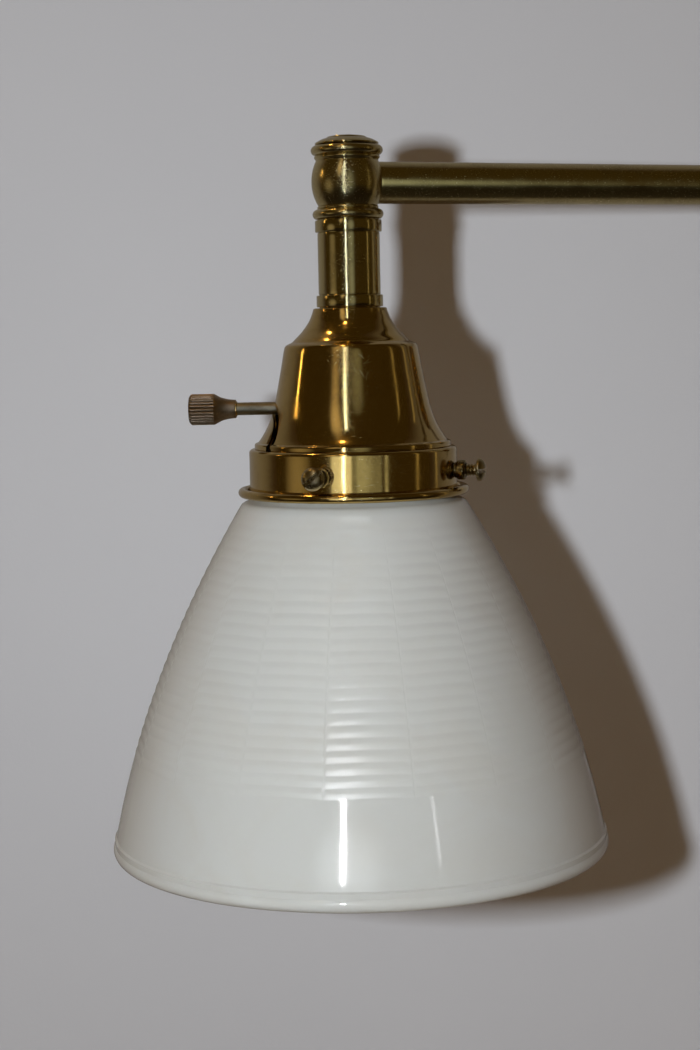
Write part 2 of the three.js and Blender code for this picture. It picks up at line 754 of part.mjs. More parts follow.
// Pieces below are built along +Z, counted outwards from the lamp axis.
function screwBush(name) {
  const seat = FITTER_RADIUS + GAP;
  const bore = SCREW_RADIUS + 0.25;
  const profile = [
    at(bore, seat),
    at(bore + 0.4, seat),
    at(bore + 0.4, seat + 0.5),
    at(bore + 0.8, seat + 1),
    at(bore + 0.8, seat + 2.5),
    at(bore + 0.3, seat + 3.1),
    at(bore, seat + 3.1),
  ];
  return piece(name, turned(profile, SMALL), polishedBrass);
}

function shadeScrew(name) {
  const head = 36.8;
  const profile = [
    at(0, SCREW_TIP),
    at(1.2, SCREW_TIP),
    at(SCREW_RADIUS, SCREW_TIP + 0.7),
    at(SCREW_RADIUS, head),
    at(3.15, head),
    at(3.15, head + 1),
    at(2.2, head + 2.1),
    at(0, head + 2.4),
  ];
  const drive = new THREE.BoxGeometry(0.8, 8, 2).translate(0, 0, head + 2.4);
  return piece(name, cut(turned(profile, SMALL), drive), gunmetal);
}

function glassShade() {
  const flare = new THREE.QuadraticBezierCurve(at(32.6, -91.5), at(61.2, -138.6), at(71.1, -185.7));
  const hollow = new THREE.QuadraticBezierCurve(at(68, -187), at(58, -140), at(29.6, -93.4));
  const profile = [
    at(SHADE_LIP - 3.4, SHADE_TOP),
    at(SHADE_LIP - 0.6, SHADE_TOP),
    at(SHADE_LIP, SHADE_TOP - 0.6),
    at(SHADE_LIP, SHADE_TOP - 2.4),
    at(SHADE_LIP - 1.4, SHADE_TOP - 3.4),
    at(SHADE_LIP - 1.4, SHADE_TOP - 8.6),
    at(SHADE_LIP - 0.4, SHADE_TOP - 11.2),
    at(SHADE_LIP + 1.8, SHADE_TOP - 13.2),
    ...flare.getPoints(6),
    at(71.4, -187.2),
    ...arc(SHADE_RADIUS - 2.4, SHADE_BOTTOM + 2.4, 2.4, 25, -90, 3),
    ...arc(SHADE_RADIUS - 3, SHADE_BOTTOM + 2.2, 2.2, -110, -180, 2),
    ...hollow.getPoints(5),
    at(SHADE_LIP - 4.4, SHADE_TOP - 10),
    at(SHADE_LIP - 4.4, SHADE_TOP - 3),
  ];
  return piece("glass_shade", turned(profile, FINE), milkGlass);
}

// ---------------------------------------------------------------- bulb
function bulbGlass() {
  const neck = -97.9;
  const centre = BULB_TIP - BULB_LENGTH + BULB_RADIUS;
  const throat = new THREE.QuadraticBezierCurve(at(12.6, neck), at(13, -114), at(24, centre + 18));
  const outline = [...throat.getPoints(3), ...arc(0, centre, BULB_RADIUS, 30, -90, 6)];
  const inside = offset(outline, -SHEET).reverse();
  inside[0].x = 0;
  inside[inside.length - 1].y = neck;
  return piece("bulb_glass", turned([...outline, ...inside], MEDIUM), frostedGlass);
}

function bulbBase() {
  const top = BULB_TIP - 2;
  const line = threadLine(THREAD_RADIUS - 0.9, THREAD_TOP - 1.5 * THREAD_PITCH, 4);
  const bottom = line[line.length - 1].y;
  const profile = [at(0, top), at(5.4, top), at(11.4, line[0].y + 1), ...line, at(0, bottom)];
  return piece("bulb_base", turned(profile, MEDIUM), zincSteel);
}

function bulbContact() {
  const profile = [
    at(0, BULB_TIP),
    at(3, BULB_TIP),
    at(4.6, BULB_TIP - 0.9),
    at(4.6, BULB_TIP - 1.7),
    at(0, BULB_TIP - 1.7),
  ];
  return piece("bulb_contact", turned(profile, SMALL), zincSteel);
}

// ---------------------------------------------------------------- key switch
function switchRotor() {
  const profile = [
    at(0, -5.5),
    at(5, -5.5),
    at(5, -1),
    at(3.6, 0),
    at(3.6, 2),
    at(5, 3),
    at(5, 7.5),
    at(KEY_RADIUS + KEY_CLEARANCE, 7.5),
    at(KEY_RADIUS + KEY_CLEARANCE, 2.5),
    at(0, 2.5),
  ];
  return piece("switch_rotor", turned(profile, SMALL), phenolic);
}

function keyStem() {
  return piece("key_stem", rod(KEY_RADIUS, 2.8, KNOB_GRIP - 1), gunmetal);
}

function keyKnob() {
  const bore = KEY_RADIUS + KEY_CLEARANCE;
  const taper = new THREE.QuadraticBezierCurve(
    at(2.63, KNOB_START + 1), at(2.8, KNOB_GRIP - 2.4), at(KNOB_RADIUS, KNOB_GRIP),
  );
  const profile = [
    at(bore, KNOB_START),
    at(2.4, KNOB_START),
    ...taper.getPoints(4),
    at(KNOB_RADIUS - 0.3, KNOB_GRIP + 0.1),
    at(KNOB_RADIUS - 0.3, KNOB_END - 0.2),
    at(KNOB_RADIUS - 0.9, KNOB_END),
    at(0, KNOB_END),
    at(0, KNOB_GRIP - 0.5),
    at(bore, KNOB_GRIP - 0.5),
  ];
  const grip = new THREE.Shape();
  for (let i = 0; i < 2 * KNOB_FLUTES; i++) {
    const radius = i % 2 ? KNOB_RADIUS : KNOB_RADIUS - 0.4;
    const turn = (Math.PI * i) / KNOB_FLUTES;
    grip[i ? "lineTo" : "moveTo"](radius * Math.cos(turn), radius * Math.sin(turn));
  }
  grip.closePath();
  const options = { depth: KNOB_END - KNOB_GRIP - 0.8, bevelEnabled: false };
  const fluted = new THREE.ExtrudeGeometry(grip, options).translate(0, 0, KNOB_GRIP + 0.2);
  return piece("key_knob", join(turned(profile, SMALL), fluted), darkBronze);
}

// ---------------------------------------------------------------- assembly
const lamp = new THREE.Group();

// Pieces turned about the wall plate's axis, with their +Z pointing out of the wall.
const wallStack = new THREE.Group();
wallStack.rotation.x = Math.PI / 2;
wallStack.add(mountingStrap(), wallPlate(), groundScrew());
wallStack.add(plateStud("plate_stud_left", -1), plateStud("plate_stud_right", 1));
wallStack.add(capNut("cap_nut_left", -1), capNut("cap_nut_right", 1));
wallStack.add(stubNut(), stubCollar(), stubTube());
lamp.add(wallStack, supplyWire());

const pivot = new THREE.Group();
pivot.position.set(0, -PIVOT_REACH, ARM_HEIGHT);
pivot.add(topCollar("post_upper_collar", STOP_HEADING));
pivot.add(pivotPost(), postLowerCollar(), postFinial());
addSwivel(pivot, "pivot", POST_FLOOR - 0.6, STOP_HEADING);
lamp.add(pivot);

const arm = new THREE.Group();
arm.rotation.z = radians(ARM_HEADING);
arm.add(knuckle("wall_end_knuckle", 0, 0, ARM_SWING), knuckleCap("wall_end_cap"));
arm.add(armTube(), armWire());
pivot.add(arm);

const armEnd = new THREE.Group();
armEnd.position.x = ARM_LENGTH;
armEnd.add(knuckle("lamp_end_knuckle", 180, 0, HEAD_SWING), knuckleCap("lamp_end_cap"));
arm.add(armEnd);

// The head's own axes lie along the wall's while the arm rests.
const head = new THREE.Group();
head.rotation.z = -radians(ARM_HEADING);
head.add(topCollar("neck_upper_collar", ARM_HEADING), neckTube(), neckLowerCollar());
addSwivel(head, "head", -46.5, ARM_HEADING);
head.add(bellCover(), bellNut(), socketCap(), socketShell(), insulatingSleeve());
head.add(switchBlock(), screwShell(), centreContact(), socketRing(), lampCord());
head.add(terminalScrew("terminal_screw_live", 1, agedBrass));
head.add(terminalScrew("terminal_screw_neutral", -1, zincSteel));
head.add(shadeFitter(), glassShade(), bulbGlass(), bulbBase(), bulbContact());
for (const [place, angle] of Object.entries(SCREW_ANGLES)) {
  const station = outwardGroup(angle, SCREW_HEIGHT);
  station.add(screwBush("screw_bush_" + place), shadeScrew("shade_screw_" + place));
  head.add(station);
}
armEnd.add(head);

const key = outwardGroup(KEY_ANGLE, KEY_HEIGHT);
key.add(switchRotor(), keyStem(), keyKnob());
head.add(key);

export default lamp;
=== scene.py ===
"""Looks of the swing-arm wall light: fine turned forms, materials, stage, lights and camera.

Lengths in the builders are millimetres. Heights on the lamp head and on the pivot are
counted from the arm's axis, heights on the wall plate from the wall.
"""

import json
import math

import bpy
import numpy as np
from mathutils import Matrix, Vector

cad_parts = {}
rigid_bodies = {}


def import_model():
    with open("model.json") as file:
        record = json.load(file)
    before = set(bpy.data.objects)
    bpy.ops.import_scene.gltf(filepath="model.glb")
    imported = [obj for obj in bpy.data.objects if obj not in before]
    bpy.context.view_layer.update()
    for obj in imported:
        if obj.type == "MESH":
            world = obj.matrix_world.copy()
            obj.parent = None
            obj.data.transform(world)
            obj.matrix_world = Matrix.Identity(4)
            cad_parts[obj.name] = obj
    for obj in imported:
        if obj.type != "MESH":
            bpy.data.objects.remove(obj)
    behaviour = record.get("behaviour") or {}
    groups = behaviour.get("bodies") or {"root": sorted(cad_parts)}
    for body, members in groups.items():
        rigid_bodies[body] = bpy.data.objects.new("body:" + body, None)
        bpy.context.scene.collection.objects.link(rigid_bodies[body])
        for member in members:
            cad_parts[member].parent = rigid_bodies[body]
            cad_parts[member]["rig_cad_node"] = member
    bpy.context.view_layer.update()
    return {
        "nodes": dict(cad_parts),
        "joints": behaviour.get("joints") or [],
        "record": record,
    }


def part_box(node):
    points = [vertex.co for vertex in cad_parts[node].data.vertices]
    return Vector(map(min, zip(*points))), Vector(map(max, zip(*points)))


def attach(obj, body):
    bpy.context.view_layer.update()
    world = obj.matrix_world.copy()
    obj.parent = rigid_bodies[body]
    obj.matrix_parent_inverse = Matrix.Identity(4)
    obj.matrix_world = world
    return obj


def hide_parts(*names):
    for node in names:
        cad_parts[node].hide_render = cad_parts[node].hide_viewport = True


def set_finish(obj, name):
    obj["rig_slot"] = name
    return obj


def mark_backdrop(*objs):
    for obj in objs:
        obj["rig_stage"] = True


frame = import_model()

MM = 0.001
RECORD = frame["record"]
BODY_OF = {node: body for body, nodes in RECORD["behaviour"]["bodies"].items() for node in nodes}
SLOT_OF = {part["node"]: part["material_slot"] for part in RECORD["subparts"]}
JOINTS = {joint["name"]: joint for joint in frame["joints"]}

LAMP = Vector(JOINTS["head_swivel"]["pos_m"])
PIVOT = Vector(JOINTS["arm_swing"]["pos_m"])
FINE = 160  # steps round the widest forms
MEDIUM = 96
SMALL = 48
SHARPEST_SMOOTH = 32  # degrees between two faces that are still shaded as one surface


# ---- frames of the pieces
def upright(origin):
    """Millimetres with +Z up about a vertical axis through origin."""
    return Matrix.Translation(origin) @ Matrix.Scale(MM, 4)


def radial(joint, height):
    """Millimetres with +Z running outwards from the lamp axis, along a joint's axis."""
    axis = Vector(JOINTS[joint]["axis"])
    heading = math.atan2(axis.y, axis.x)
    turn = Matrix.Rotation(heading, 4, "Z") @ Matrix.Rotation(math.pi / 2, 4, "Y")
    return Matrix.Translation((LAMP.x, LAMP.y, height)) @ turn @ Matrix.Scale(MM, 4)


def off_wall():
    """Millimetres with +Z pointing out of the wall at the wall plate's centre."""
    return Matrix.Rotation(math.pi / 2, 4, "X") @ Matrix.Scale(MM, 4)


def extent(node, origin):
    """Lowest and highest point of an upright node, in millimetres about an origin's height."""
    low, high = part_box(node)
    return (low.z - origin.z) / MM, (high.z - origin.z) / MM


def half_width(node):
    low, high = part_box(node)
    return max(high.x - low.x, high.y - low.y) / 2 / MM


# ---- outlines
def arc(centre_r, centre_z, radius, start, end, steps=10, tall=1.0):
    """Points of an arc, angles in degrees from the radius axis; tall stretches it upright."""
    turns = np.radians(np.linspace(start, end, steps + 1))
    return [(centre_r + radius * math.cos(t), centre_z + tall * radius * math.sin(t)) for t in turns]


def bezier(points, steps=24):
    """A Bezier curve of any degree through its control points."""
    curve = []
    for t in np.linspace(0, 1, steps + 1):
        level = [np.array(p, float) for p in points]
        while len(level) > 1:
            level = [a * (1 - t) + b * t for a, b in zip(level, level[1:])]
        curve.append(tuple(level[0]))
    return curve


def smooth_line(points, steps=6):
    """A Catmull-Rom curve through every point."""
    p = [np.array(q, float) for q in [points[0], *points, points[-1]]]
    curve = [tuple(p[1])]
    for a, b, c, d in zip(p, p[1:], p[2:], p[3:]):
        for t in np.linspace(0, 1, steps + 1)[1:]:
            point = 2 * b + (c - a) * t + (2 * a - 5 * b + 4 * c - d) * t**2
            curve.append(tuple((point + (3 * b - a - 3 * c + d) * t**3) / 2))
    return curve


def rounded(outline, radius, steps=3, least_turn=25):
    """A closed outline with each corner that turns by more than an angle cut by a small round."""
    result = []
    count = len(outline)
    for i in range(count):
        before, here, after = (Vector(outline[(i + k) % count]) for k in (-1, 0, 1))
        arrive, leave = here - before, after - here
        short = min(arrive.length, leave.length) < 1e-6
        if short or abs(here.x) < 1e-6 or math.degrees(arrive.angle(leave)) < least_turn:
            result.append(tuple(here))
            continue
        reach = min(radius, arrive.length * 0.45, leave.length * 0.45)
        start, end = here - arrive.normalized() * reach, here + leave.normalized() * reach
        for t in np.linspace(0, 1, steps + 1):
            result.append(tuple(start * (1 - t) ** 2 + here * 2 * t * (1 - t) + end * t * t))
    return result


def offset(outline, distance):
    """An open outline moved sideways, to its left when the distance is positive."""
    points = [Vector(p) for p in outline]
    moved = []
    for i, here in enumerate(points):
        along = (points[min(i + 1, len(points) - 1)] - points[max(i - 1, 0)]).normalized()
        moved.append((here.x - along.y * distance, here.y + along.x * distance))
    return moved


# ---- mesh builders
def bare_object(name, vertices, faces):
    mesh = bpy.data.meshes.new(name)
    mesh.from_pydata(vertices, [], faces)
    mesh.update()
    obj = bpy.data.objects.new(name, mesh)
    bpy.context.scene.collection.objects.link(obj)
    return obj


def finish_mesh(mesh, material):
    mesh.polygons.foreach_set("use_smooth", [True] * len(mesh.polygons))
    mesh.set_sharp_from_angle(angle=math.radians(SHARPEST_SMOOTH))
    mesh.materials.clear()
    mesh.materials.append(material)


def make_object(name, vertices, faces, material):
    obj = bare_object(name, vertices, faces)
    finish_mesh(obj.data, material)
    return obj


def turned(outline, steps, matrix, wobble=None):
    """Vertices and faces of a closed (radius, height) outline turned about +Z, in equal
    steps or at given angles. A wobble takes a radius, a height and the angles, and gives
    the radius to use at each angle."""
    area = sum(a[0] * b[1] - b[0] * a[1] for a, b in zip(outline, outline[1:] + outline[:1]))
    points = outline if area > 0 else outline[::-1]
    even = isinstance(steps, int)
    turns = np.linspace(0, 2 * math.pi, steps, endpoint=False) if even else np.array(steps)
    steps = len(turns)
    vertices, rows = [], []
    for radius, height in points:
        if radius < 1e-6:
            rows.append([len(vertices)])
            vertices.append((0.0, 0.0, height))
            continue
        radii = np.full(steps, radius) if wobble is None else wobble(radius, height, turns)
        rows.append(list(range(len(vertices), len(vertices) + steps)))
        vertices += list(zip(radii * np.cos(turns), radii * np.sin(turns), np.full(steps, height)))
    faces = []
    for low, high in zip(rows, rows[1:] + rows[:1]):
        if len(low) == 1 and len(high) == 1:
            continue
        for j in range(steps):
            k = (j + 1) % steps
            if len(low) == 1:
                faces.append((low[0], high[k], high[j]))
            elif len(high) == 1:
                faces.append((low[j], low[k], high[0]))
            else:
                faces.append((low[j], low[k], high[k], high[j]))
    return [matrix @ Vector(v) for v in vertices], faces


def prism(outline, bottom, top, matrix):
    """Vertices and faces of a flat (x, y) outline raised from bottom to top."""
    count = len(outline)
    vertices = [(x, y, z) for z in (bottom, top) for x, y in outline]
    faces = [tuple(range(count))[::-1], tuple(range(count, 2 * count))]
    faces += [(i, (i + 1) % count, count + (i + 1) % count, count + i) for i in range(count)]
    return [matrix @ Vector(v) for v in vertices], faces


def swept(path, radius, matrix, sides=20):
    """Vertices and faces of a round bar along a path of points."""
    points = [Vector(p) for p in path]
    vertices, faces = [], []
    side = None
    for i, here in enumerate(points):
        along = (points[min(i + 1, len(points) - 1)] - points[max(i - 1, 0)]).normalized()
        side = along.orthogonal() if side is None else side - along * side.dot(along)
        side.normalize()
        across = along.cross(side)
        for j in range(sides):
            turn = 2 * math.pi * j / sides
            vertices.append(here + (side * math.cos(turn) + across * math.sin(turn)) * radius)
    for i in range(len(points) - 1):
        for j in range(sides):
            k = (j + 1) % sides
            faces.append((i * sides + j, i * sides + k, (i + 1) * sides + k, (i + 1) * sides + j))
    faces.append(tuple(range(sides))[::-1])
    faces.append(tuple(range(len(vertices) - sides, len(vertices))))
    return [matrix @ v for v in vertices], faces


def combine(obj, operation, *others):
    """Cuts the other objects out of obj, or joins them to it, and removes them."""
    for other in others:
        step = obj.modifiers.new("combine", "BOOLEAN")
        step.operation = operation
        step.solver = "EXACT"
        step.object = other
    evaluated = obj.evaluated_get(bpy.context.evaluated_depsgraph_get())
    mesh = bpy.data.meshes.new_from_object(evaluated)
    material = obj.data.materials[0]
    obj.modifiers.clear()
    obj.data = mesh
    for other in others:
        bpy.data.objects.remove(other)
    finish_mesh(mesh, material)
    return obj


def stands_for(obj, node):
    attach(obj, BODY_OF[node])
    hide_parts(node)
    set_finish(obj, SLOT_OF[node])
    return obj


def turned_piece(node, outline, steps, matrix, material, round_off=0.15, wobble=None):
    """A turned form that stands for a CAD node."""
    outline = rounded(outline, round_off) if round_off else outline
    vertices, faces = turned(outline, steps, matrix, wobble)
    return stands_for(make_object(node + "_form", vertices, faces, material), node)


# ---- materials
class Shader:
    """A node material under construction, with its coordinates in millimetres."""

    def __init__(self, name):
        self.material = bpy.data.materials.new(name)
        self.material.use_nodes = True
        self.tree = self.material.node_tree
        self.surface = self.tree.nodes["Principled BSDF"]
        place = self.add("ShaderNodeTexCoord").outputs["Object"]
        self.place = self.vector("MULTIPLY", place, (1 / MM,) * 3)

    def add(self, kind, numbers=(), **settings):
        """A new node, with its settings and the numbers on its inputs."""
        node = self.tree.nodes.new(kind)
        for key, value in settings.items():
            setattr(node, key, value)
        for key, value in dict(numbers).items():
            node.inputs[key].default_value = value
        return node

    def feed(self, socket, value):
        """Links or sets an input. A colour is three numbers."""
        if isinstance(value, bpy.types.NodeSocket):
            self.tree.links.new(value, socket)
        elif socket.type == "RGBA":
            socket.default_value = (*value, 1.0)
        else:
            socket.default_value = value

    def vector(self, operation, a, b):
        node = self.add("ShaderNodeVectorMath", operation=operation)
        self.feed(node.inputs[0], a)
        self.feed(node.inputs[1], b)
        return node.outputs["Value" if operation in ("LENGTH", "DOT_PRODUCT") else "Vector"]

    def times(self, a, b):
        return self.math("MULTIPLY", a, b)

    def math(self, operation, a, b=0.0):
        node = self.add("ShaderNodeMath", operation=operation)
        self.feed(node.inputs[0], a)
        self.feed(node.inputs[1], b)
        return node.outputs[0]

    def noise(self, at, scale=1.0, detail=3.0, roughness=0.5, distortion=0.0):
        numbers = {"Scale": scale, "Detail": detail, "Roughness": roughness, "Distortion": distortion}
        node = self.add("ShaderNodeTexNoise", numbers)
        self.feed(node.inputs["Vector"], at)
        return node.outputs["Fac"]

    def remap(self, value, low, high, to_low=0.0, to_high=1.0):
        node = self.add("ShaderNodeMapRange", interpolation_type="SMOOTHSTEP")
        for socket, number in zip(node.inputs, (value, low, high, to_low, to_high)):
            self.feed(socket, number)
        return node.outputs["Result"]

    def mix(self, share, a, b):
        node = self.add("ShaderNodeMix", data_type="RGBA")
        self.feed(node.inputs["Factor"], share)
        self.feed(node.inputs["A"], a)
        self.feed(node.inputs["B"], b)
        return node.outputs["Result"]

    def ray(self, kind):
        """One for rays of a kind: Camera, Glossy, Diffuse or Shadow."""
        return self.add("ShaderNodeLightPath").outputs[f"Is {kind} Ray"]

    def turned_place(self, axis):
        """Coordinates that stay the same round a vertical axis: (distance, 0, height)."""
        spot = self.vector("SUBTRACT", self.place, (axis.x / MM, axis.y / MM, 0.0))
        flat = self.vector("MULTIPLY", spot, (1.0, 1.0, 0.0))
        height = self.vector("MULTIPLY", spot, (0.0, 0.0, 1.0))
        join = self.add("ShaderNodeCombineXYZ")
        self.feed(join.inputs["X"], self.vector("LENGTH", flat, (0.0,) * 3))
        return self.vector("ADD", join.outputs[0], height)

    def mapped(self, kind, numbers):
        """The coordinates moved, turned and scaled."""
        node = self.add("ShaderNodeMapping", numbers, vector_type=kind)
        self.feed(node.inputs["Vector"], self.place)
        return node.outputs[0]

    def scratches(self, tilt, length, width, cover):
        """Fine straight scratches, as a mask: long thin noise cells cut to narrow lines."""
        cells = self.mapped("POINT", {
            "Rotation": [math.radians(t) for t in tilt], "Scale": (1 / length, 1 / width, 1 / width),
        })
        return self.remap(self.noise(cells, 1.0, 2.0, 0.6), cover, cover + 0.03)

    def scuff(self, across, height, tilt, length):
        """One short scratch on the front of the lamp head, as a mask. Its middle is counted
        from the lamp's axis and the arm's height."""
        spot = self.mapped("TEXTURE", {
            "Location": LAMP / MM + Vector((across, -20, height)),
            "Rotation": (0, -math.radians(tilt), 0), "Scale": (length / 2, 12, 0.17),
        })
        return self.remap(self.vector("LENGTH", spot, (0.0,) * 3), 0.5, 1.0, 1.0, 0.0)

    def bump(self, height, depth, strength=1.0, under=None):
        """A bump of a depth in millimetres, laid over another bump."""
        node = self.add("ShaderNodeBump", {"Strength": strength, "Distance": depth * MM})
        self.feed(node.inputs["Height"], height)
        if under is not None:
            self.feed(node.inputs["Normal"], under)
        return node.outputs["Normal"]

    def finish(self, **inputs):
        for key, value in inputs.items():
            self.feed(self.surface.inputs[key.replace("_", " ")], value)
        return self.material


def worn_metal(name, clean, tarnished, smooth, dull, axis=None, lines=0.004, scratch=0.35, scuffs=()):
    """Polished metal with lathe lines, fine scratches, smudges and tarnish in its corners."""
    sh = Shader(name)
    smudge = sh.noise(sh.place, 0.09, 4.0, 0.6, 0.6)
    speck = sh.noise(sh.place, 1.3, 5.0, 0.65)
    marks = sh.math("MAXIMUM", sh.scratches((20, 35, 15), 9.0, 0.22, 0.69),
                    sh.scratches((-50, 10, 70), 6.0, 0.16, 0.7))
    for scuff in scuffs:
        marks = sh.math("MAXIMUM", marks, sh.scuff(*scuff))
    corner = sh.add("ShaderNodeNewGeometry").outputs["Pointiness"]
    crevice = sh.remap(corner, 0.46, 0.5, 1.0, 0.0)
    film = sh.times(sh.remap(smudge, 0.42, 0.72), sh.remap(speck, 0.3, 0.75))
    stain = sh.math("MAXIMUM", sh.times(film, 0.55), sh.times(crevice, 0.6))
    rough = sh.remap(smudge, 0.3, 0.75, smooth, dull)
    rough = sh.math("ADD", rough, sh.times(marks, 0.12))
    spin_place = sh.place if axis is None else sh.turned_place(axis)
    spin = sh.noise(spin_place, 3.5, 4.0, 0.7)
    relief = sh.bump(spin, lines)
    relief = sh.bump(marks, -0.004 * scratch / 0.35, under=relief)
    relief = sh.bump(sh.noise(sh.place, 0.16, 2.0), 0.05, 0.5, under=relief)
    tint = sh.mix(stain, clean, tarnished)
    tint = sh.mix(sh.times(marks, scratch), tint, (0.95, 0.86, 0.62))
    return sh.finish(Base_Color=tint, Metallic=1.0, Roughness=rough, Normal=relief)


def milk_glass():
    """Opal pressed glass: glossy skin, soft depth, faint swirls and moulding ripples, with a painted warm
    shade towards its outline.
    """
    sh = Shader("milk_glass")
    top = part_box("glass_shade")[1].z / MM
    height = sh.add("ShaderNodeSeparateXYZ")
    sh.feed(height.inputs[0], sh.place)
    level = height.outputs["Z"]
    cool = sh.remap(level, top - 18, top - 12)
    swirl = sh.noise(sh.place, 0.035, 4.0, 0.55, 1.2)
    cloud = sh.noise(sh.place, 0.35, 5.0, 0.6)
    tint = sh.mix(sh.remap(swirl, 0.35, 0.7), (0.555, 0.58, 0.575), (0.545, 0.56, 0.545))
    tint = sh.mix(sh.times(sh.remap(cloud, 0.5, 0.8), 0.25), tint, (0.58, 0.60, 0.60))
    tint = sh.mix(sh.times(cool, 0.35), tint, (0.42, 0.47, 0.5))
    # painted shade: the glass is tinted warmer and darker where it faces away from the camera, towards its
    # outline
    edge = sh.add("ShaderNodeLayerWeight").outputs["Facing"]
    tint = sh.mix(sh.remap(edge, 0.25, 0.95, 0.0, 0.7), tint, (0.53, 0.505, 0.45))
    dust = sh.noise(sh.place, 2.2, 6.0, 0.7)
    rib_low, rib_high = (LAMP.z / MM + z for z in (-164, -96))
    ribbed = sh.times(sh.remap(level, rib_low - 0.5, rib_low + 0.5), sh.remap(level, rib_high + 3, rib_high))
    rough = sh.remap(dust, 0.45, 0.8, 0.06, 0.14)
    rough = sh.math("ADD", rough, sh.times(ribbed, 0.15))
    round_axis = sh.add("ShaderNodeTangent", direction_type="RADIAL", axis="Z").outputs["Tangent"]
    relief = sh.bump(sh.noise(sh.place, 0.06, 2.0), 0.1, 0.5)
    relief = sh.bump(dust, 0.003, under=relief)
    return sh.finish(
        Base_Color=tint, Roughness=rough, Normal=relief, IOR=1.5, Tangent=round_axis,
        Anisotropic=sh.times(ribbed, 0.9), Subsurface_Weight=0.35,
        Subsurface_Radius=(0.004, 0.004, 0.0038), Subsurface_Scale=1.0,
    )


def dielectric(name, base, second, grain, rough_low, rough_high, depth, **extra):
    """A non-metal with a mottled colour, uneven gloss and a grain of its own size."""
    sh = Shader(name)
    fine = sh.noise(sh.place, grain, 5.0, 0.6, 0.3)
    broad = sh.noise(sh.place, grain / 9, 3.0, 0.5)
    tint = sh.mix(sh.remap(broad, 0.35, 0.7), base, second)
    rough = sh.remap(fine, 0.3, 0.75, rough_low, rough_high)
    return sh.finish(Base_Color=tint, Roughness=rough, Normal=sh.bump(fine, depth), **extra)


def cord_cloth():
    """Cord with a fine woven cover: two sets of crossing threads."""
    sh = Shader("cord_cloth")
    waves = []
    for turn in (45, -45):
        wave = sh.add("ShaderNodeTexWave", {"Scale": 1.1})
        threads = sh.mapped("POINT", {"Rotation": (0, math.radians(turn), math.radians(turn))})
        sh.feed(wave.inputs["Vector"], threads)
        waves.append(wave.outputs["Fac"])
    weave = sh.math("MAXIMUM", *waves)
    tint = sh.mix(weave, (0.2, 0.15, 0.07), (0.46, 0.37, 0.19))
    return sh.finish(Base_Color=tint, Roughness=0.75, Normal=sh.bump(weave, 0.12))


GOLD = (0.60, 0.42, 0.145)
GOLD_STAIN = (0.28, 0.16, 0.05)
OLD_GOLD = (0.62, 0.50, 0.23)
OLD_STAIN = (0.20, 0.15, 0.06)
BELL_SCUFFS = [  # across, height, tilt in degrees, length
    (2.85, -54.1, -60, 3.4), (4.36, -54.3, 62, 3.2), (2.8, -49.4, -40, 2.8), (4.2, -50.8, 40, 3.6),
    (4.8, -51.1, 15, 2.8), (-6.5, -50.3, -55, 1.6),
]
LAMP_BRASS = worn_metal("lamp_brass", GOLD, GOLD_STAIN, 0.085, 0.17, LAMP, scratch=0.55)
BELL_BRASS = worn_metal("bell_brass", GOLD, GOLD_STAIN, 0.085, 0.17, LAMP, scratch=0.55, scuffs=BELL_SCUFFS)
NECK_BRASS = worn_metal("neck_brass", OLD_GOLD, OLD_STAIN, 0.10, 0.19, LAMP, scratch=0.5)
KNUCKLE_BRASS = worn_metal("knuckle_brass", OLD_GOLD, OLD_STAIN, 0.16, 0.27, LAMP, scratch=0.5)
POST_BRASS = worn_metal("post_brass", OLD_GOLD, OLD_STAIN, 0.10, 0.19, PIVOT, scratch=0.5)
TUBE_BRASS = worn_metal("tube_brass", OLD_GOLD, OLD_STAIN, 0.15, 0.27, lines=0.002, scratch=0.5)
PLATE_BRASS = worn_metal("plate_brass", GOLD, GOLD_STAIN, 0.12, 0.22, lines=0.002)
BRONZE = worn_metal("bronze", (0.37, 0.275, 0.175), (0.10, 0.07, 0.045), 0.34, 0.52)
GUNMETAL = worn_metal("gunmetal", (0.34, 0.3, 0.23), (0.12, 0.1, 0.07), 0.24, 0.42)
SCREW_METAL = worn_metal("screw_metal", (0.42, 0.33, 0.17), (0.5, 0.34, 0.11), 0.24, 0.38)
BUSH_METAL = worn_metal("bush_metal", (0.25, 0.18, 0.075), (0.12, 0.08, 0.035), 0.2, 0.34)
STEM_METAL = worn_metal("stem_metal", (0.31, 0.27, 0.175), (0.12, 0.1, 0.06), 0.34, 0.5)
GROUND_METAL = worn_metal("ground_metal", (0.12, 0.4, 0.16), (0.3, 0.3, 0.25), 0.28, 0.45)
ZINC = worn_metal("zinc", (0.6, 0.61, 0.6), (0.3, 0.3, 0.29), 0.25, 0.42)
SPRING = worn_metal("spring_steel", (0.3, 0.31, 0.32), (0.12, 0.12, 0.13), 0.3, 0.45)
MILK = milk_glass()
FROST = dielectric("frosted_bulb", (0.8, 0.8, 0.77), (0.86, 0.86, 0.84), 2.0, 0.3, 0.45,
                   0.01, Subsurface_Weight=0.3, Subsurface_Radius=(0.003, 0.003, 0.003))
PORCELAIN = dielectric("porcelain", (0.78, 0.74, 0.64), (0.7, 0.66, 0.55), 0.9, 0.12, 0.3, 0.01)
PHENOLIC = dielectric("phenolic", (0.03, 0.024, 0.02), (0.05, 0.04, 0.03), 2.5, 0.3, 0.5, 0.02)
FIBRE = dielectric("fibre", (0.28, 0.19, 0.1), (0.36, 0.26, 0.15), 3.0, 0.7, 0.95, 0.05)
CORD = cord_cloth()
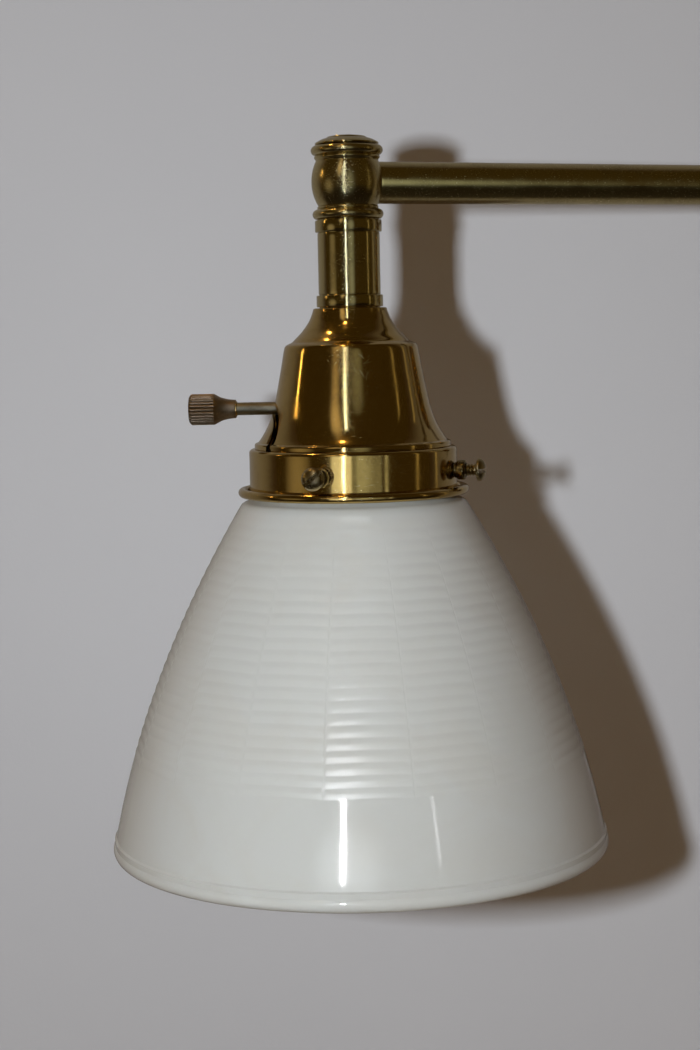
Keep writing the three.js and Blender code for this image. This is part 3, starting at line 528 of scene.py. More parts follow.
BY_SLOT = {
    "polished_brass": LAMP_BRASS, "aged_brass": NECK_BRASS, "dark_bronze": BRONZE,
    "gunmetal": GUNMETAL, "zinc_steel": ZINC, "spring_steel": SPRING, "milk_glass": MILK,
    "frosted_glass": FROST, "porcelain": PORCELAIN, "phenolic": PHENOLIC, "fibre": FIBRE,
    "cord_cover": CORD,
}


# ---- shared small forms
HEAD = upright(LAMP)
POST = upright(PIVOT)
KEY = radial("key_turn", JOINTS["key_turn"]["pos_m"][2])
TUBE_RADIUS = 6
NECK_RADIUS = 8.9
THREAD_PITCH = 0.79  # of the shade screws and the plate studs
THREAD_DEPTH = 0.36


def along(origin, target):
    """Millimetres with +Z running from origin to target."""
    turn = (target - origin).to_track_quat("Z", "Y").to_matrix().to_4x4()
    return Matrix.Translation(origin) @ turn @ Matrix.Scale(MM, 4)


def rod_cutter(radius, bottom, top, matrix):
    outline = [(0, bottom), (radius, bottom), (radius, top), (0, top)]
    return bare_object("rod_cutter", *turned(outline, SMALL, matrix))


def box_cutter(size, centre, matrix):
    x, y, z = (s / 2 for s in size)
    outline = [(centre[0] + a * x, centre[1] + b * y) for a, b in ((-1, -1), (1, -1), (1, 1), (-1, 1))]
    return bare_object("box_cutter", *prism(outline, centre[2] - z, centre[2] + z, matrix))


def levels(start, end, step):
    """Heights from start to end in equal steps of about the given size."""
    return np.linspace(start, end, max(2, round(abs(end - start) / step) + 1))


def carved(crest, reach, start, end, ramp, depth_at):
    """Cuts rows within reach of the crest radius to a depth given for a height and angles.
    The cut fades in and out at the ends of its band."""
    def wobble(radius, height, turns):
        if radius < crest - reach or not start <= height <= end:
            return np.full(len(turns), radius)
        fade = min(1, (height - start) / ramp, (end - height) / ramp)
        return radius - fade * depth_at(height, turns)
    return wobble


def screw_thread(crest, pitch, depth, start, end):
    def depth_at(height, turns):
        phase = (height / pitch - turns / (2 * math.pi)) % 1
        return depth * (1 - np.abs(2 * phase - 1))
    return carved(crest, 0.001, start, end, pitch, depth_at)


def straight_flutes(crest, count, depth, start, end):
    def depth_at(height, turns):
        return depth * (1 - np.abs(np.sin(count / 2 * turns)) ** 0.8)
    return carved(crest, 0.35, start, end, 0.25, depth_at)


# ---- knuckles, collars, tubes
def knuckle(node, origin, target):
    outline = [
        (4.25, -10.4),
        *arc(8.76, -9.0, 1.4, -90, 60, 14),
        *arc(8.35, -7.05, 0.42, -50, 60, 6),
        *arc(0, 0.2, 10.3, -35, 30, 30, 1.15),
        *arc(8.75, 7.1, 0.65, -60, 60, 8),
        *arc(8.9, 9.05, 1.4, -55, 90, 14),
        (7, 10.45), (7, -5.5), (4.25, -5.5),
    ]
    obj = turned_piece(node, outline, MEDIUM, upright(origin), KNUCKLE_BRASS, 0.12)
    return combine(obj, "DIFFERENCE", rod_cutter(TUBE_RADIUS + 0.1, 4, 12, along(origin, target)))


def knuckle_cap(node, origin):
    outline = [
        (0, 9.75), (5.6, 9.75), (5.6, 7.75), (6.6, 7.75), (6.6, 10.75), (9.05, 10.75),
        (9.12, 11.1), *smooth_line([(8.9, 11.3), (7.4, 12.1), (5.7, 12.62)], 5),
        (5.5, 12.9), *smooth_line([(5.25, 12.98), (3.2, 13.28), (0, 13.42)], 6)[:-1], (0, 13.42),
    ]
    return turned_piece(node, outline, MEDIUM, upright(origin), NECK_BRASS, 0.12)


def collar(node, origin, inner, material):
    low, high = extent(node, origin)
    outer = half_width(node)
    lip = outer - 0.8
    outline = [
        (inner, low - 0.28), (lip, low - 0.28), (lip, low), (outer - 0.1, low), (outer, low + 0.25),
        (outer, high - 0.25), (outer - 0.1, high), (lip, high), (lip, high + 0.28), (inner, high + 0.28),
    ]
    return turned_piece(node, outline, MEDIUM, upright(origin), material, 0.14)


knuckle("lamp_end_knuckle", LAMP, PIVOT)
knuckle("wall_end_knuckle", PIVOT, LAMP)
knuckle_cap("lamp_end_cap", LAMP)
knuckle_cap("wall_end_cap", PIVOT)
collar("neck_upper_collar", LAMP, 4.25, NECK_BRASS)
collar("neck_lower_collar", LAMP, 4.25, NECK_BRASS)
collar("post_upper_collar", PIVOT, 4.25, POST_BRASS)
collar("post_lower_collar", PIVOT, 7.3, POST_BRASS)


def arm_tube():
    """Drawn tube: its wall swells and sinks a few microns along its length."""
    hidden = 7.6  # from a knuckle's axis to the end of the tube
    start, end = hidden, (LAMP - PIVOT).length / MM - hidden
    rng = np.random.default_rng(11)
    phase = rng.uniform(0, 2 * math.pi, 6)
    waves = (7.1, 11.3, 16.9, 23.7, 31.0, 44.0)

    def ripple(radius, height, turns):
        if radius < TUBE_RADIUS - 0.1:
            return np.full(len(turns), radius)
        swell = sum(
            math.sin(2 * math.pi * height / wave + p) * np.cos((1 + i % 3) * turns + p)
            for i, (wave, p) in enumerate(zip(waves, phase))
        )
        return radius + 0.004 * swell

    outline = [(5, start), *[(TUBE_RADIUS, z) for z in levels(start, end, 1.4)], (5, end)]
    turned_piece("arm_tube", outline, MEDIUM, along(PIVOT, LAMP), TUBE_BRASS, 0.1, ripple)


def neck_tube():
    low, high = extent("neck_tube", LAMP)
    low, high = low - 0.01, high + 0.01
    outline = [(7.9, low), *[(NECK_RADIUS, z) for z in levels(low, high, 1.0)], (7.9, high)]
    turned_piece("neck_tube", outline, MEDIUM, HEAD, NECK_BRASS, 0.1)


def pivot_post():
    low, high = extent("pivot_post", PIVOT)
    outline = [
        (7.4, low), (NECK_RADIUS, low), (NECK_RADIUS, high), (4.25, high), (4.25, -19), (7.4, -19),
    ]
    obj = turned_piece("pivot_post", outline, MEDIUM, POST, POST_BRASS, 0.12)
    centre = Matrix.Translation((PIVOT.x, PIVOT.y, 0))
    towards_wall = centre @ Matrix.Rotation(-math.pi / 2, 4, "X") @ Matrix.Scale(MM, 4)
    boss = [
        (4, 7.7), (7.4, 7.7), (7.4, 9.4), *arc(6.7, 10.1, 0.7, -70, 80, 6),
        (6.9, 11.4), (7.2, 12.5), (4, 12.5),
    ]
    boss_object = bare_object("boss", *turned(rounded(boss, 0.1), MEDIUM, towards_wall))
    combine(obj, "UNION", boss_object)
    combine(obj, "DIFFERENCE", rod_cutter(5.2, 2, 13.5, towards_wall))


def post_finial():
    low, high = extent("post_finial", PIVOT)
    seat = high - 7.9
    outline = [
        (0, high), (7.1, high), (7.1, seat), (8.6, seat), (8.6, seat - 0.8),
        *arc(8.0, seat - 0.9, 0.6, 0, -80, 6),
        *smooth_line([(7.4, seat - 1.5), (5.4, seat - 1.9), (4.1, seat - 2.8), (3.6, seat - 3.6)], 5),
        *arc(0, seat - 9.0, 6.4, 54, -62, 26),
        *smooth_line([(2.5, low + 1.5), (1.9, low + 0.8), (1.2, low + 0.25), (0, low)], 5)[:-1], (0, low),
    ]
    turned_piece("post_finial", outline, MEDIUM, POST, POST_BRASS, 0.1)


arm_tube()
neck_tube()
pivot_post()
post_finial()


# ---- bell cover
BELL_FLARE = [
    (10.0, -35.6), (10.55, -35.8), (10.75, -36.5), (11.1, -37.5), (11.8, -39.1),
    (12.9, -40.8), (14.2, -42.5), (15.8, -44.1), (16.9, -45.2), (17.7, -45.55),
]
BELL_BODY = [
    (18.75, -46.1), (19.25, -47.2), (19.95, -51.0), (20.75, -55.2), (21.55, -59.3),
    (22.4, -63.2), (23.4, -66.6), (24.7, -69.6), (26.2, -72.2), (27.3, -73.7),
]
BELL_BOTTOM = -75.56
BELL_FOOT = [(27.7, -73.85), (28.15, -74.0), (28.35, -74.35), (28.35, BELL_BOTTOM)]
J_SLOT = [(-93, -64), (-86, -64.2), (-80, -64.6), (-68, -66.8), (-61.5, -70.3), (-58, -74), (-56.5, -79)]


def facing(angle):
    """Heading of an angle counted from the front towards +X."""
    return math.radians(angle - 90)


def bell_cover():
    outside = smooth_line(BELL_FLARE, 5) + smooth_line(BELL_BODY, 6) + BELL_FOOT
    inside = offset(smooth_line(BELL_FLARE[4:-1] + BELL_BODY[1:], 3), -0.8)[::-1]
    outline = [
        *outside, (27.5, BELL_BOTTOM), *inside, (10.0, -36.9), (9.4, -36.4), (4.25, -36.4), (4.25, -35.6),
    ]
    obj = turned_piece("bell_cover", outline, FINE, HEAD, BELL_BRASS, 0.12)
    heights = [-79, -76, *[z for r, z in BELL_BODY[::-2]]]
    radii = [29.4, 28.4, *[r for r, z in BELL_BODY[::-2]]]
    rng = np.random.default_rng(5)
    path = []
    for angle, height in smooth_line(J_SLOT, 3):
        radius = np.interp(height, heights, radii) - 0.4
        turn = facing(angle)
        path.append((radius * math.cos(turn), radius * math.sin(turn), height + rng.normal(0, 0.07)))
    slot = bare_object("slot", *swept(path, 1.5, HEAD))
    seat = rod_cutter(2.05, 14, 28, KEY)
    return combine(obj, "DIFFERENCE", slot, seat)


bell_cover()


# ---- shade fitter and screws
SCREWS = {"front": 38.0, "right": 4.0, "back": -20.0}  # turn of each screw's slot, in degrees
SHANK_RADIUS = 1.75


def screw_frame(place):
    low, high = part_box("shade_screw_" + place)
    return radial(f"screw_{place}_travel", (low.z + high.z) / 2)


def shade_fitter():
    outline = [
        (16.6, -75.6), (28.6, -75.6), *arc(28.9, -76.7, 1.1, 80, 0, 8), (30, -87.3),
        *arc(30.75, -87.5, 0.75, 180, 265, 6), *arc(31.2, -88.05, 0.3, 270, 330, 3),
        *arc(32.1, -88.1, 1.3, 160, -90, 26), (30.6, -89.4),
        *smooth_line([(30.2, -89.15), (29.5, -88.6), (29.2, -88.0)], 4), (29.2, -77.2),
        *arc(28.4, -77.2, 0.8, 0, 80, 5), (16.6, -76.4),
    ]
    obj = turned_piece("shade_fitter", outline, FINE, HEAD, LAMP_BRASS, 0.1)
    holes = [rod_cutter(2.0, 26, 32, screw_frame(place)) for place in SCREWS]
    combine(obj, "DIFFERENCE", *holes)


def screw_bush(place):
    outline = [
        (2.0, 30.3), (2.35, 30.3), (2.25, 30.5), (2.25, 30.8), *arc(2.15, 31.4, 0.6, -60, 0, 5),
        (2.8, 31.7), (2.8, 32.6), *arc(2.2, 32.7, 0.6, 10, 70, 5), (2.3, 33.35), (2.0, 33.4),
    ]
    turned_piece("screw_bush_" + place, outline, SMALL, screw_frame(place), BUSH_METAL, 0.08)


def shade_screw(place, slot_turn):
    start, end = 28.4, 36.7
    shank = [(SHANK_RADIUS, z) for z in levels(start, end, THREAD_PITCH / 8)]
    outline = [
        (0, 27.7), (1.2, 27.7), *shank, (SHANK_RADIUS, 36.8), (3.05, 36.8), (3.2, 36.95), (3.25, 37.4),
        *smooth_line([(3.15, 37.75), (2.6, 38.45), (1.5, 39.0), (0, 39.2)], 6)[:-1], (0, 39.2),
    ]
    thread = screw_thread(SHANK_RADIUS, THREAD_PITCH, THREAD_DEPTH, start, end)
    matrix = screw_frame(place)
    obj = turned_piece("shade_screw_" + place, outline, SMALL, matrix, SCREW_METAL, 0, thread)
    turn = matrix @ Matrix.Rotation(math.radians(slot_turn), 4, "Z")
    combine(obj, "DIFFERENCE", box_cutter((1.15, 9, 3.0), (0, 0, 39.15), turn))


shade_fitter()
for place, slot_turn in SCREWS.items():
    screw_bush(place)
    shade_screw(place, slot_turn)


# ---- key switch
KNOB_FLUTES = 26
KNOB_RADIUS = 4.5


def key_stem():
    outline = [(0, 2.8), (1.7, 2.8), *[(1.85, z) for z in levels(3.0, 39, 0.6)], (0, 39)]
    rng = np.random.default_rng(3)
    wear = rng.normal(0, 0.012, 200)

    def worn(radius, height, turns):
        return radius + wear[int(height * 4) % 200] * np.ones(len(turns))

    turned_piece("key_stem", outline, SMALL, KEY, STEM_METAL, 0, worn)


def key_ring():
    """A sliver of bare brass where the stem enters the knob."""
    obj = make_object("key_ring", *turned(
        [(1.87, 33.25), (2.02, 33.25), (2.3, 33.5), (2.3, 33.58), (1.87, 33.58)], SMALL, KEY,
    ), LAMP_BRASS)
    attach(obj, "key")
    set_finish(obj, "polished_brass")


def key_knob():
    grip = [(KNOB_RADIUS, z) for z in levels(40.0, 46.4, 0.25)]
    outline = [
        (2.15, 33.6), (2.55, 33.6), (2.66, 33.75),
        *bezier([(2.68, 33.9), (2.8, 36.4), (3.3, 38.1), (4.4, 39.7)], 14),
        *grip, (4.2, 46.85), (3.75, 47.15), (3.2, 47.2), (2.9, 47.08), (0, 47.02),
        (0, 39.5), (2.15, 39.5),
    ]
    flutes = straight_flutes(KNOB_RADIUS, KNOB_FLUTES, 0.42, 39.8, 46.9)
    turned_piece("key_knob", outline, KNOB_FLUTES * 10, KEY, BRONZE, 0, flutes)


key_stem()
key_ring()
key_knob()


# ---- glass shade
PANELS = 17
FIRST_SEAM = -8.6  # degrees from the front
RIB_TOP = -94.6
RIB_BOTTOM = -164.2
RIB_PITCH = 3.1
RIB_DEPTH = 0.21
RIB_BREAK = 0.55  # share of a rib that faces down
SEAM_DEPTH = 0.05
SEAM_HALF_TURN = 0.32  # degrees
SEAM_MARGIN = 1.6  # degrees over which the ribs fade towards a seam
PANEL_SAG = 0.0012  # how far a panel is flatter than the cone, as a share of the radius
FLARE_TOP = -91.5
FLARE_BOTTOM = -185.7
FLARE = bezier([(32.6, FLARE_TOP), (61.2, -138.6), (71.1, FLARE_BOTTOM)], 200)


def flare_at(height):
    """Radius of the plain flare at a height."""
    return np.interp(height, [z for r, z in FLARE][::-1], [r for r, z in FLARE][::-1])


def ribs(radius, height, turns):
    """Pressed ribs on the outside of the flare: each faces down, then back up to a crease.
    They sag a little across a panel and fade out at its seams."""
    if not RIB_BOTTOM <= height <= RIB_TOP or radius < flare_at(height) - 1:
        return np.full(len(turns), radius)
    panel = 360 / PANELS
    angle = np.degrees(turns) + 90 - FIRST_SEAM
    share = (angle / panel) % 1
    from_seam = np.minimum(share, 1 - share) * panel
    number = np.floor(angle / panel)
    phase = (RIB_TOP - height) / RIB_PITCH + 0.1 * np.sin(math.pi * share) + 0.06 * np.sin(number * 2.4)
    phase = phase % 1
    down, up = phase / RIB_BREAK, (phase - RIB_BREAK) / (1 - RIB_BREAK)
    rise = np.where(phase < RIB_BREAK, 0.5 - 0.4 * down - 0.6 * down * down, up - 0.5)
    fade = np.clip(from_seam / SEAM_MARGIN, 0, 1)
    ends = min(1, (RIB_TOP - height) / 30 + 0.2, (height - RIB_BOTTOM) / 0.6)
    seam = np.clip(1 - from_seam / SEAM_HALF_TURN, 0, 1)
    flat = PANEL_SAG * radius * (1 - 4 * share * (1 - share))
    return radius + ends * (flat + RIB_DEPTH * fade * rise - SEAM_DEPTH * seam)


def shade_angles():
    """Headings of the shade's columns, close together at the seams."""
    panel = 360 / PANELS
    near = [-0.5, -0.32, -0.16, 0, 0.16, 0.32, 0.5]
    across = list(np.linspace(SEAM_MARGIN + 0.1, panel - SEAM_MARGIN - 0.1, 9))
    return [
        facing(FIRST_SEAM + panel * i + a) % (2 * math.pi)
        for i in range(PANELS) for a in near + across
    ]


def glass_shade():
    rows = 10
    ribbed = [(flare_at(z), z) for z in levels(RIB_TOP, RIB_BOTTOM, RIB_PITCH / rows)]
    plain = [(flare_at(z), z) for z in levels(RIB_BOTTOM - 0.7, FLARE_BOTTOM, 1.8)]
    outline = [
        (25.2, -77), (28.0, -77), (28.45, -77.15), (28.6, -77.6), (28.6, -79.2), (28.35, -79.7),
        *smooth_line([(27.5, -80.3), (27.2, -81.2), (27.2, -85.4), (27.5, -87.2), (28.6, -89.0),
                      (30.4, -90.3), (31.7, -90.9)], 4),
        (flare_at(FLARE_TOP), FLARE_TOP), (flare_at(-93), -93), *ribbed, *plain,
        (71.25, -186.6), (71.35, -187.1), (71.9, -187.6),
        *arc(70.0, -190.6, 2.4, 38, -90, 12), *arc(69.4, -190.8, 2.2, -100, -180, 8),
        *bezier([(68, -187), (58, -140), (29.6, -93.4)], 26),
        *smooth_line([(26.4, -90.2), (24.6, -88.0), (24.2, -85.5), (24.2, -80), (24.6, -77.6)], 3),
    ]
    angles = sorted(shade_angles())
    turned_piece("glass_shade", outline, angles, HEAD, MILK, 0, ribs)


glass_shade()


# ---- socket and bulb
EDISON_PITCH = 3.63


def rolled_thread(crest, start, end):
    """A rolled Edison thread: the sheet swings in and out all along the screw."""
    def depth_at(height, turns):
        return -0.22 * np.sin(2 * math.pi * height / EDISON_PITCH - turns)
    return carved(crest, 1, start, end, EDISON_PITCH, depth_at)


def socket_shell():
    crest, start, end = 16.2, -94.6, -76.2
    fine_thread = [(crest, z) for z in levels(start, end, 0.2)]
    outline = [
        (14.6, -95), (15.9, -95), *fine_thread, (crest, -75.3), (18.5, -75.3), (18.5, -74.5),
        (15.5, -74.5), (15.3, -74.2), *[(15.3, z) for z in levels(-73, -54.7, 1.2)], (14.6, -54.5),
    ]
    thread = screw_thread(crest, 1.4, 0.35, start, end)
    obj = turned_piece("socket_shell", outline, MEDIUM, HEAD, LAMP_BRASS, 0, thread)
    combine(obj, "DIFFERENCE", rod_cutter(2.15, 10, 20, KEY))


def socket_ring():
    low, high = extent("socket_ring", LAMP)
    outer = 20
    knurl = [(outer, z) for z in levels(low + 0.3, high - 0.3, 0.2)]
    outline = [(16.6, low), (19.7, low), *knurl, (19.7, high), (16.6, high)]
    flutes = straight_flutes(outer, 60, 0.3, low + 0.3, high - 0.3)
    turned_piece("socket_ring", outline, 480, HEAD, LAMP_BRASS, 0, flutes)


def screw_shell():
    crest, bottom = 13.3, -95
    rows = levels(-76.4, bottom, 0.3)
    outline = [
        (5, -73.8), (12.4, -73.8), (12.8, -74.2), (13.0, -75.4), *[(crest, z) for z in rows],
        *[(12.9, z) for z in rows[::-1]], (12.6, -75.5), (12.3, -74.3), (5, -74.2),
    ]
    thread = rolled_thread(crest, bottom, -76)
    turned_piece("screw_shell", outline, MEDIUM, HEAD, LAMP_BRASS, 0, thread)


def bulb_glass():
    centre, radius, thick, top = -153.4, 30, 0.8, -97.9
    outside = bezier([(12.6, top), (12.9, -112), (17, -123), (26.2, centre + 14.6)], 20)
    outside += arc(0, centre, radius, 28, -90, 30)[:-1] + [(0, centre - radius)]
    inside = offset(outside, -thick)[::-1]
    inside[0] = (0, centre - radius + thick)
    inside[-1] = (12.6 - thick, top)
    turned_piece("bulb_glass", outside + inside, MEDIUM, HEAD, FROST, 0)


def bulb_base():
    low, high = extent("bulb_base", LAMP)
    crest, start = 12.4, -97.2
    rows = [(crest, z) for z in levels(start, -82.4, 0.3)]
    outline = [(0, low), (12.3, low), *rows, (11.6, -81.4), (8.6, -80.2), (5.4, high), (0, high)]
    turned_piece("bulb_base", outline, MEDIUM, HEAD, ZINC, 0, rolled_thread(crest, start, -81))


def bulb_contact():
    low, high = extent("bulb_contact", LAMP)
    outline = [(0, low), (4.6, low), (4.6, low + 0.7), (3.6, high - 0.25), (2.4, high), (0, high)]
    turned_piece("bulb_contact", outline, SMALL, HEAD, ZINC, 0.1)


socket_shell()
socket_ring()
screw_shell()
bulb_glass()
bulb_base()
bulb_contact()


# ---- wall bracket
WALL = off_wall()
SIDES = ("left", "right")
STUD_RADIUS = 2.1


def beside(node):
    """The wall frame moved sideways to a node's own axis."""
    low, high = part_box(node)
    return Matrix.Translation(((low.x + high.x) / 2, 0, 0)) @ WALL


def wall_plate():
    outside = [
        (57.5, 0), (57.5, 2.4), *arc(55.5, 2.9, 2.0, 10, 100, 10),
        *arc(54.9, 16.6, 12, -103, -160, 24), (43.4, 13.6), (43.0, 14), (28.2, 14),
        *arc(28.0, 15.0, 1.0, -100, -170, 6), (26.6, 16.2), (25.9, 19.8),
        *arc(24.2, 19.9, 1.7, 5, 88, 8), (20.5, 21.9), (20.1, 21.6), (5.5, 21.6),
    ]
    inside = offset(outside, 1.4)[::-1]
    inside = [(5.5, 20.2)] + [p for p in inside if p[1] > 3.5][1:] + [(54.6, 2.4), (54.5, 0)]
    obj = turned_piece("wall_plate", outside + inside, FINE, WALL, PLATE_BRASS, 0.12)
    combine(obj, "DIFFERENCE", *[rod_cutter(2.6, 8, 20, beside("plate_stud_" + side)) for side in SIDES])


def mounting_strap():
    low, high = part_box("mounting_strap")
    half_length, half_height = (high.x - low.x) / 2 / MM, (high.z - low.z) / 2 / MM
    thick = -low.y / MM
    corner = arc(half_length - 3, half_height - 3, 3, 0, 90, 6)
    outline = []
    for a, b in ((1, 1), (-1, 1), (-1, -1), (1, -1)):
        points = [(a * x, b * y) for x, y in corner]
        outline += points if a * b > 0 else points[::-1]
    obj = make_object("mounting_strap_form", *prism(rounded(outline, 0.1), 0, thick, WALL), ZINC)
    cutters = []
    for x in (-44.45, 44.45):
        slot = arc(x + 1.5, 0, 2.4, -90, 90, 12) + arc(x - 1.5, 0, 2.4, 90, 270, 12)
        cutters.append(bare_object("slot", *prism(slot, -1, thick + 1, WALL)))
    for node, radius in (("plate_stud_left", 2.4), ("plate_stud_right", 2.4), ("ground_screw", 2.1)):
        cutters.append(rod_cutter(radius, -1, thick + 1, beside(node)))
    combine(obj, "DIFFERENCE", *cutters)
    stands_for(obj, "mounting_strap")


def plate_stud(side):
    node = "plate_stud_" + side
    top = -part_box(node)[0].y / MM
    start, end = 0.5, top - 0.3
    rows = [(STUD_RADIUS, z) for z in levels(start, end, 0.12)]
    outline = [(0, 0.2), (1.8, 0.2), *rows, (1.8, top), (0, top)]
    thread = screw_thread(STUD_RADIUS, THREAD_PITCH, THREAD_DEPTH, start, end)
    turned_piece(node, outline, SMALL, beside(node), ZINC, 0, thread)


def cap_nut(side):
    node = "cap_nut_" + side
    seat = 14.3
    knurl = [(5, z) for z in levels(seat + 0.2, seat + 1.2, 0.2)]
    outline = [
        (2.4, seat), (4.7, seat), *knurl, (4.6, seat + 1.5), (3.9, seat + 1.9),
        (3.6, seat + 2.6), (3.7, seat + 3.3), *arc(0, seat + 4, 4, -4, 88, 18), (0, seat + 8),
        (0, seat + 5.2), (2.4, seat + 5.2),
    ]
    flutes = straight_flutes(5, 30, 0.3, seat + 0.2, seat + 1.2)
    turned_piece(node, outline, 240, beside(node), PLATE_BRASS, 0, flutes)


def stub_collar():
    low, high = 21.9, 25.2
    outline = [
        (5.2, low), (8.4, low), (8.6, low + 0.3), (8.6, low + 1.0), *arc(7.9, low + 1.9, 0.7, -50, 80, 7),
        (6.9, high - 0.3), (6.7, high), (5.2, high),
    ]
    turned_piece("stub_collar", outline, MEDIUM, WALL, PLATE_BRASS, 0.1)


def stub_tube():
    end = 47.2
    outline = [
        (3.4, 13), (5, 13), (5, 25.5), (TUBE_RADIUS, 25.5),
        *[(TUBE_RADIUS, z) for z in levels(26.2, end - 0.5, 1.5)],
        (TUBE_RADIUS, end), (5, end), (5, end + 4.4), (3.4, end + 4.4),
    ]
    turned_piece("stub_tube", outline, MEDIUM, WALL, TUBE_BRASS, 0.1)


def ground_screw():
    thick = 2.7
    outline = [
        (0, 0.2), (1.6, 0.2), (1.75, 0.4), (1.75, thick), (3.9, thick), (4, thick + 0.2), (4, thick + 1.0),
        *arc(2.9, thick + 1.1, 1.1, 0, 85, 7), (0, thick + 2.2),
    ]
    matrix = beside("ground_screw")
    obj = turned_piece("ground_screw", outline, SMALL, matrix, GROUND_METAL, 0.05)
    turn = matrix @ Matrix.Rotation(math.radians(25), 4, "Z")
    combine(obj, "DIFFERENCE", box_cutter((9, 1, 1.6), (0, 0, thick + 2.2), turn))


wall_plate()
mounting_strap()
for side in SIDES:
    plate_stud(side)
    cap_nut(side)
stub_collar()
stub_tube()
ground_screw()


# ---- nodes kept from the CAD
for node, obj in frame["nodes"].items():
    obj.data.materials.clear()
    obj.data.materials.append(BY_SLOT[SLOT_OF[node]])


# ---- stage, lights and camera
def painted_wall():
    """Matt lavender-grey paint with a faint roller texture, seen only from its front, and
    dimmer where it shows in polished metal. It hides nothing from the lights behind it."""
    sh = Shader("painted_wall")
    broad = sh.noise(sh.place, 0.004, 3.0, 0.5)
    fine = sh.noise(sh.place, 0.7, 4.0, 0.6)
    tint = sh.mix(sh.remap(broad, 0.3, 0.7), (0.643, 0.668, 0.722), (0.668, 0.693, 0.747))
    tint = sh.mix(sh.times(sh.ray("Glossy"), 0.58), tint, (0.06, 0.04, 0.015))
    sh.finish(Base_Color=tint, Roughness=0.8, Normal=sh.bump(fine, 0.05))
    clear = sh.add("ShaderNodeBsdfTransparent")
    pick = sh.add("ShaderNodeMixShader")
    behind = sh.add("ShaderNodeNewGeometry").outputs["Backfacing"]
    sh.feed(pick.inputs[0], sh.math("MAXIMUM", behind, sh.ray("Shadow")))
    sh.feed(pick.inputs[1], sh.surface.outputs[0])
    sh.feed(pick.inputs[2], clear.outputs[0])
    sh.feed(sh.tree.nodes["Material Output"].inputs["Surface"], pick.outputs[0])
    return sh.material


def pale_floor():
    """Pale floor that shows only dimly in polished metal and throws a warm light back up."""
    sh = Shader("pale_floor")
    broad = sh.noise(sh.place, 0.006, 3.0, 0.5)
    tint = sh.mix(broad, (0.57, 0.60, 0.645), (0.6, 0.63, 0.675))
    tint = sh.mix(sh.times(sh.ray("Glossy"), 0.95), tint, (0.03, 0.025, 0.015))
    tint = sh.mix(sh.ray("Diffuse"), tint, (0.50, 0.41, 0.31))
    seen = sh.times(sh.ray("Camera"), 0.35)
    return sh.finish(Base_Color=tint, Roughness=0.6, Emission_Color=tint, Emission_Strength=seen)


def stage():
    wall_y, floor_z, side, depth, top = 0.0004, -0.7, 3.0, 3.2, 1.8
    wall = make_object("wall", [
        (-side, wall_y, floor_z), (side, wall_y, floor_z), (side, wall_y, top), (-side, wall_y, top),
    ], [(0, 1, 2, 3)], painted_wall())
    floor = make_object("floor", [
        (-side, -depth, floor_z), (side, -depth, floor_z), (side, depth, floor_z), (-side, depth, floor_z),
    ], [(0, 1, 2, 3)], pale_floor())
    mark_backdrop(wall, floor)


# name: heading from the front towards +X, height above the lamp, both in degrees, distance
# and size in metres, power, colour, and where its reflection shows. Only those in LIT light
# anything; the others are reflections of the room.
RIB_LIGHTS = {
    f"ribs_at_{rise}": (-1, rise, 1.00, (0.50, 0.05), power, (0.93, 0.97, 1.0), "glass")
    for rise, power in ((32, 0.50), (44, 0.50), (56, 0.45), (68, 0.40))
}
LIGHTS = {
    "key": (-11.3, 5.2, 0.61, (0.022, 0.028), 2.95, (0.955, 0.985, 1.0), None),
    "key_on_glass": (-8.0, 6.5, 0.62, (0.014, 0.20), 1.0, (0.96, 0.98, 1.0), "glass"),
    "halo_on_glass": (-6, 2, 0.70, (0.44, 0.20), 0.95, (0.9, 0.96, 1.0), "glass"),
    **RIB_LIGHTS,
    "warm_on_glass": (-22, 34, 1.00, (0.14, 0.5), 0.6, (1.0, 0.8, 0.6), "glass"),
    "right_slit": (34.5, 8, 0.90, (0.006, 0.15), 0.05, (1.0, 1.0, 1.0), "glass"),
    "key_streak": (-10.5, 10, 1.20, (0.022, 2.0), 2.7, (0.67, 0.77, 1.0), "metal"),
    "room_glow": (8, 4, 1.30, (0.62, 1.5), 0.8, (0.84, 0.98, 1.0), "metal"),
    "tube_glow": (17, 1, 1.30, (1.6, 1.5), 6.5, (0.84, 0.98, 0.95), "tube"),
    "band_left": (-13, -2, 1.30, (0.50, 0.9), 1.5, (0.92, 0.98, 1.0), "band"),
    "band_right": (17, -2, 1.30, (0.62, 0.9), 0.42, (0.86, 0.98, 1.0), "band"),
    "band_slit": (36, -2, 1.30, (0.07, 0.9), 0.10, (0.9, 0.98, 0.95), "band"),
    "door": (-26, 36, 1.50, (0.42, 1.5), 1.3, (1.0, 0.84, 0.62), "metal"),
    "left_room": (-63, -4, 1.60, (1.0, 0.9), 0.75, (1.0, 0.88, 0.66), "metal"),
    "warm_bulb": (-100, 66, 0.60, (0.03, 0.03), 0.20, (1.0, 0.62, 0.22), "metal"),
    "near_bulb": (-22, 66, 0.90, (0.04, 0.04), 0.20, (1.0, 0.62, 0.22), "metal"),
    "far_bulb": (-92, 19, 1.40, (0.022, 0.26), 0.30, (1.0, 0.66, 0.25), "metal"),
    "right_edge": (101, 2, 0.50, (0.015, 0.5), 0.010, (1.0, 0.84, 0.45), "metal"),
    "right_room": (74, 8, 1.50, (0.06, 1.6), 0.25, (1.0, 0.84, 0.5), "metal"),
    "left_fill": (-70, 30, 2.00, (2.0, 2.0), 1.5, (1.0, 0.67, 0.34), None),
    "right_fill": (65, 25, 2.00, (2.0, 2.0), 1.1, (1.0, 0.65, 0.33), None),
    "rear_fill": (205, 25, 1.60, (1.2, 1.2), 8.0, (1.0, 0.87, 0.7), "all"),
}
